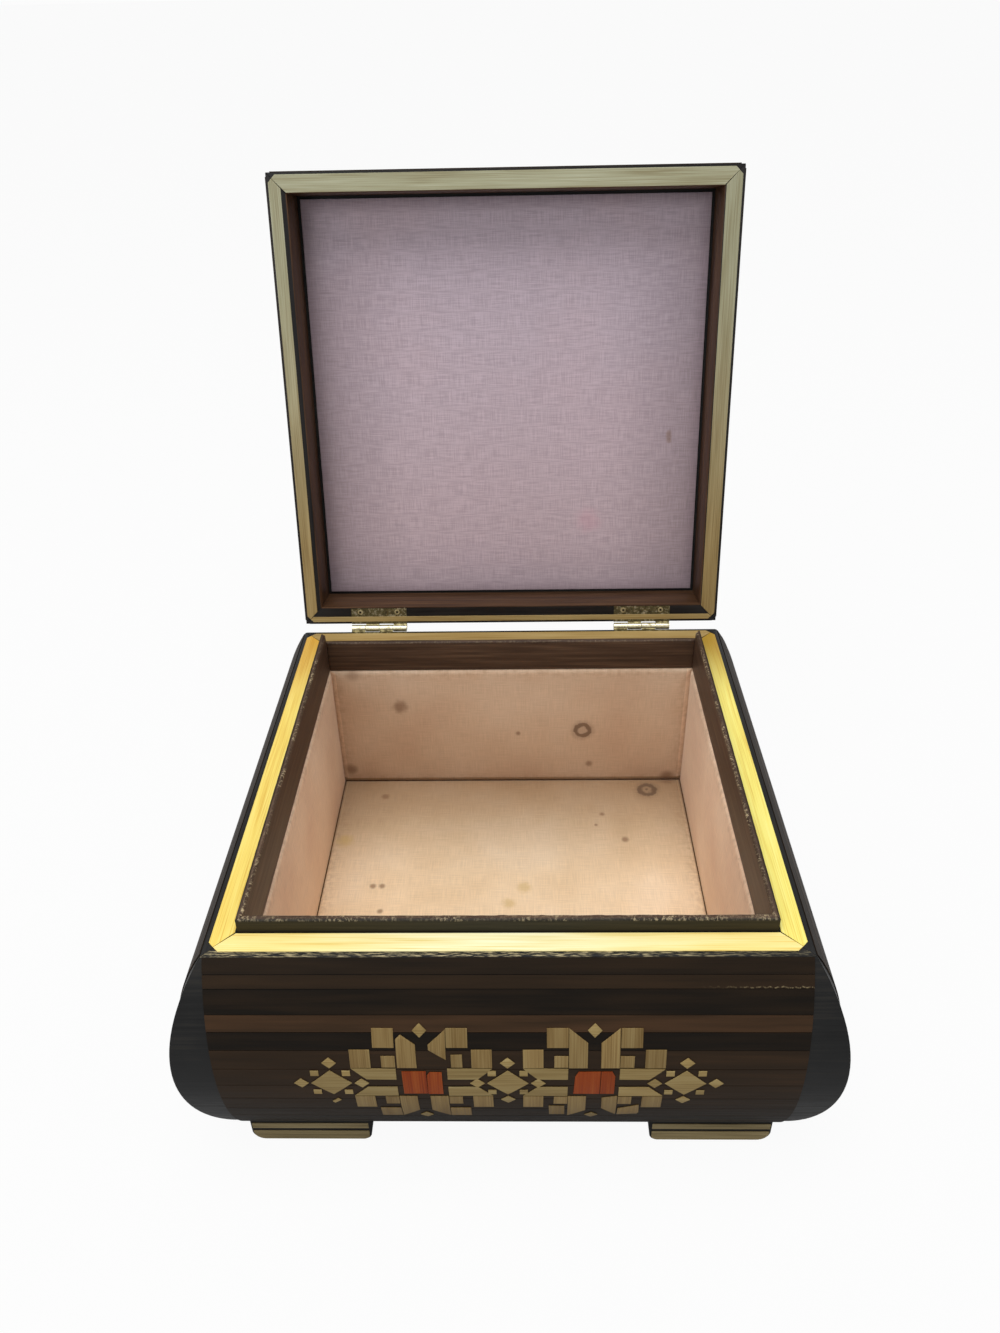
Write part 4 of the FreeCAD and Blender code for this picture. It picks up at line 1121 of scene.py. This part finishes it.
# %% [markdown]
# The lid's linen is coarser. Slubs, which are thick places in the thread, make short
# pale and dark dashes both ways. The mauve dye has faded unevenly. The cloth is also
# painted darker along the sides and the foot of the open lid, as painted shade near the
# rails, and along its border as a painted shadow.

# %% Stretch the lid's linen
LID_MARKS = (
    (76.3, 13.0, 1.5, "rub"), (76.3, 14.9, 1.7, "rub"), (76.3, 16.8, 1.5, "rub"),
    (38.6, 54.7, 7.0, "pink"),
)
LID_SWELL = 1.0 * MM
LID_PLAY = 0.1 * MM
LID_BORDER = 0.8 * MM
LINEN_TOP, LINEN_FOOT = -90 * MM, 90 * MM
SIDE_SHADE_TOP, SIDE_SHADE_FROM = -85 * MM, -45 * MM
SIDE_SHADE_INNER, SIDE_SHADE_OUTER = 40 * MM, 88 * MM
FOOT_SHADE_START, FOOT_SHADE_END = 62 * MM, 92 * MM
LINEN_RELIEF = 0.15 * MM
BORDER_SHADE_WIDTH = 7.0
shut_points = [CLOSING @ vert.co for vert in nodes["lid_lining"].data.vertices]
LID_HALF = max(point.x for point in shut_points) - LID_PLAY
LID_CEILING = max(point.z for point in shut_points)
LID_FACE = LID_CEILING - min(point.z for point in shut_points) - LID_SWELL

lid_linen = Finish("lid_linen", 0.9, specular=0.1)
lid_linen.set("Sheen Weight", 0.2)
spot = lid_linen.shut_place()
weave = weave_of(lid_linen, 0.3)
slub_map = lid_linen.turned(lid_linen.map("cloth"), scale=(0.1, 0.9, 1))
slubs = lid_linen.noise(slub_map, 1.0, 3.0, 0.6)
cloud = lid_linen.noise(spot, 22.0, 3.0)
lid_across, lid_depth = lid_linen.parts(spot)[:2]
fade = lid_linen.span(lid_depth, LINEN_TOP, LINEN_FOOT)
mauve = lid_linen.mix(fade, tint(186, 171, 182), tint(186, 166, 172))
mauve = lid_linen.mix(lid_linen.span(cloud, 0.4, 0.7, 0.0, 0.5), mauve, tint(188, 168, 176))
threads = lid_linen.maths("MULTIPLY_ADD", weave, 0.75, lid_linen.maths("MULTIPLY", slubs, 0.25))
# Painted shade near the rails: darker along the sides below the top, and at the foot.
below_top = lid_linen.span(lid_depth, SIDE_SHADE_TOP, SIDE_SHADE_FROM, 0.0, 0.24)
to_side = lid_linen.span(lid_linen.maths("ABSOLUTE", lid_across), SIDE_SHADE_INNER, SIDE_SHADE_OUTER)
side_shade = lid_linen.maths("SUBTRACT", 1.0, lid_linen.maths("MULTIPLY", below_top, to_side))
foot_shade = lid_linen.span(lid_depth, FOOT_SHADE_START, FOOT_SHADE_END, 1.0, 0.89)
shade = lid_linen.maths("MULTIPLY", side_shade, foot_shade)
shade = lid_linen.maths("MULTIPLY", shade, lid_linen.span(threads, 0.4, 0.6, 0.84, 1.12))
linen_colour = lid_linen.value(mauve, shade)
fray = lid_linen.noise(spot, 420.0, 3.0)
lid_level = (LID_CEILING - LID_FACE) / MM
lid_places = [((x, y, lid_level), radius, kind) for x, y, radius, kind in LID_MARKS]
linen_colour = stain_all(lid_linen, spot, fray, linen_colour, lid_places)
# Painted shadow along the linen's border.
from_edge = lid_linen.attribute("inset")
border_shade = lid_linen.span(from_edge, BORDER_SHADE_WIDTH, 0.0, 0.0, 0.35)
linen_colour = lid_linen.mix(border_shade, linen_colour, tint(116, 98, 108))
lid_linen.set("Base Color", linen_colour)
lid_linen.relief(threads, LINEN_RELIEF, 0.6)

lid_seat = OPENING @ Matrix.Translation((0, 0, LID_CEILING)) @ Matrix.Rotation(math.pi, 4, "X")
lid_sizes = (LID_HALF, LID_HALF, LID_FACE, LID_BORDER, SQUARE_ENDS)
sew_pad("lid_lining", lid_linen, lid_seat, lid_sizes, SQUARE_CELLS, LID_SWELL)

# %% [markdown]
# ## Last step
# The view layer is brought up to date. The dressed box may not outgrow its solids.

# %% Update the view layer
bpy.context.view_layer.update()
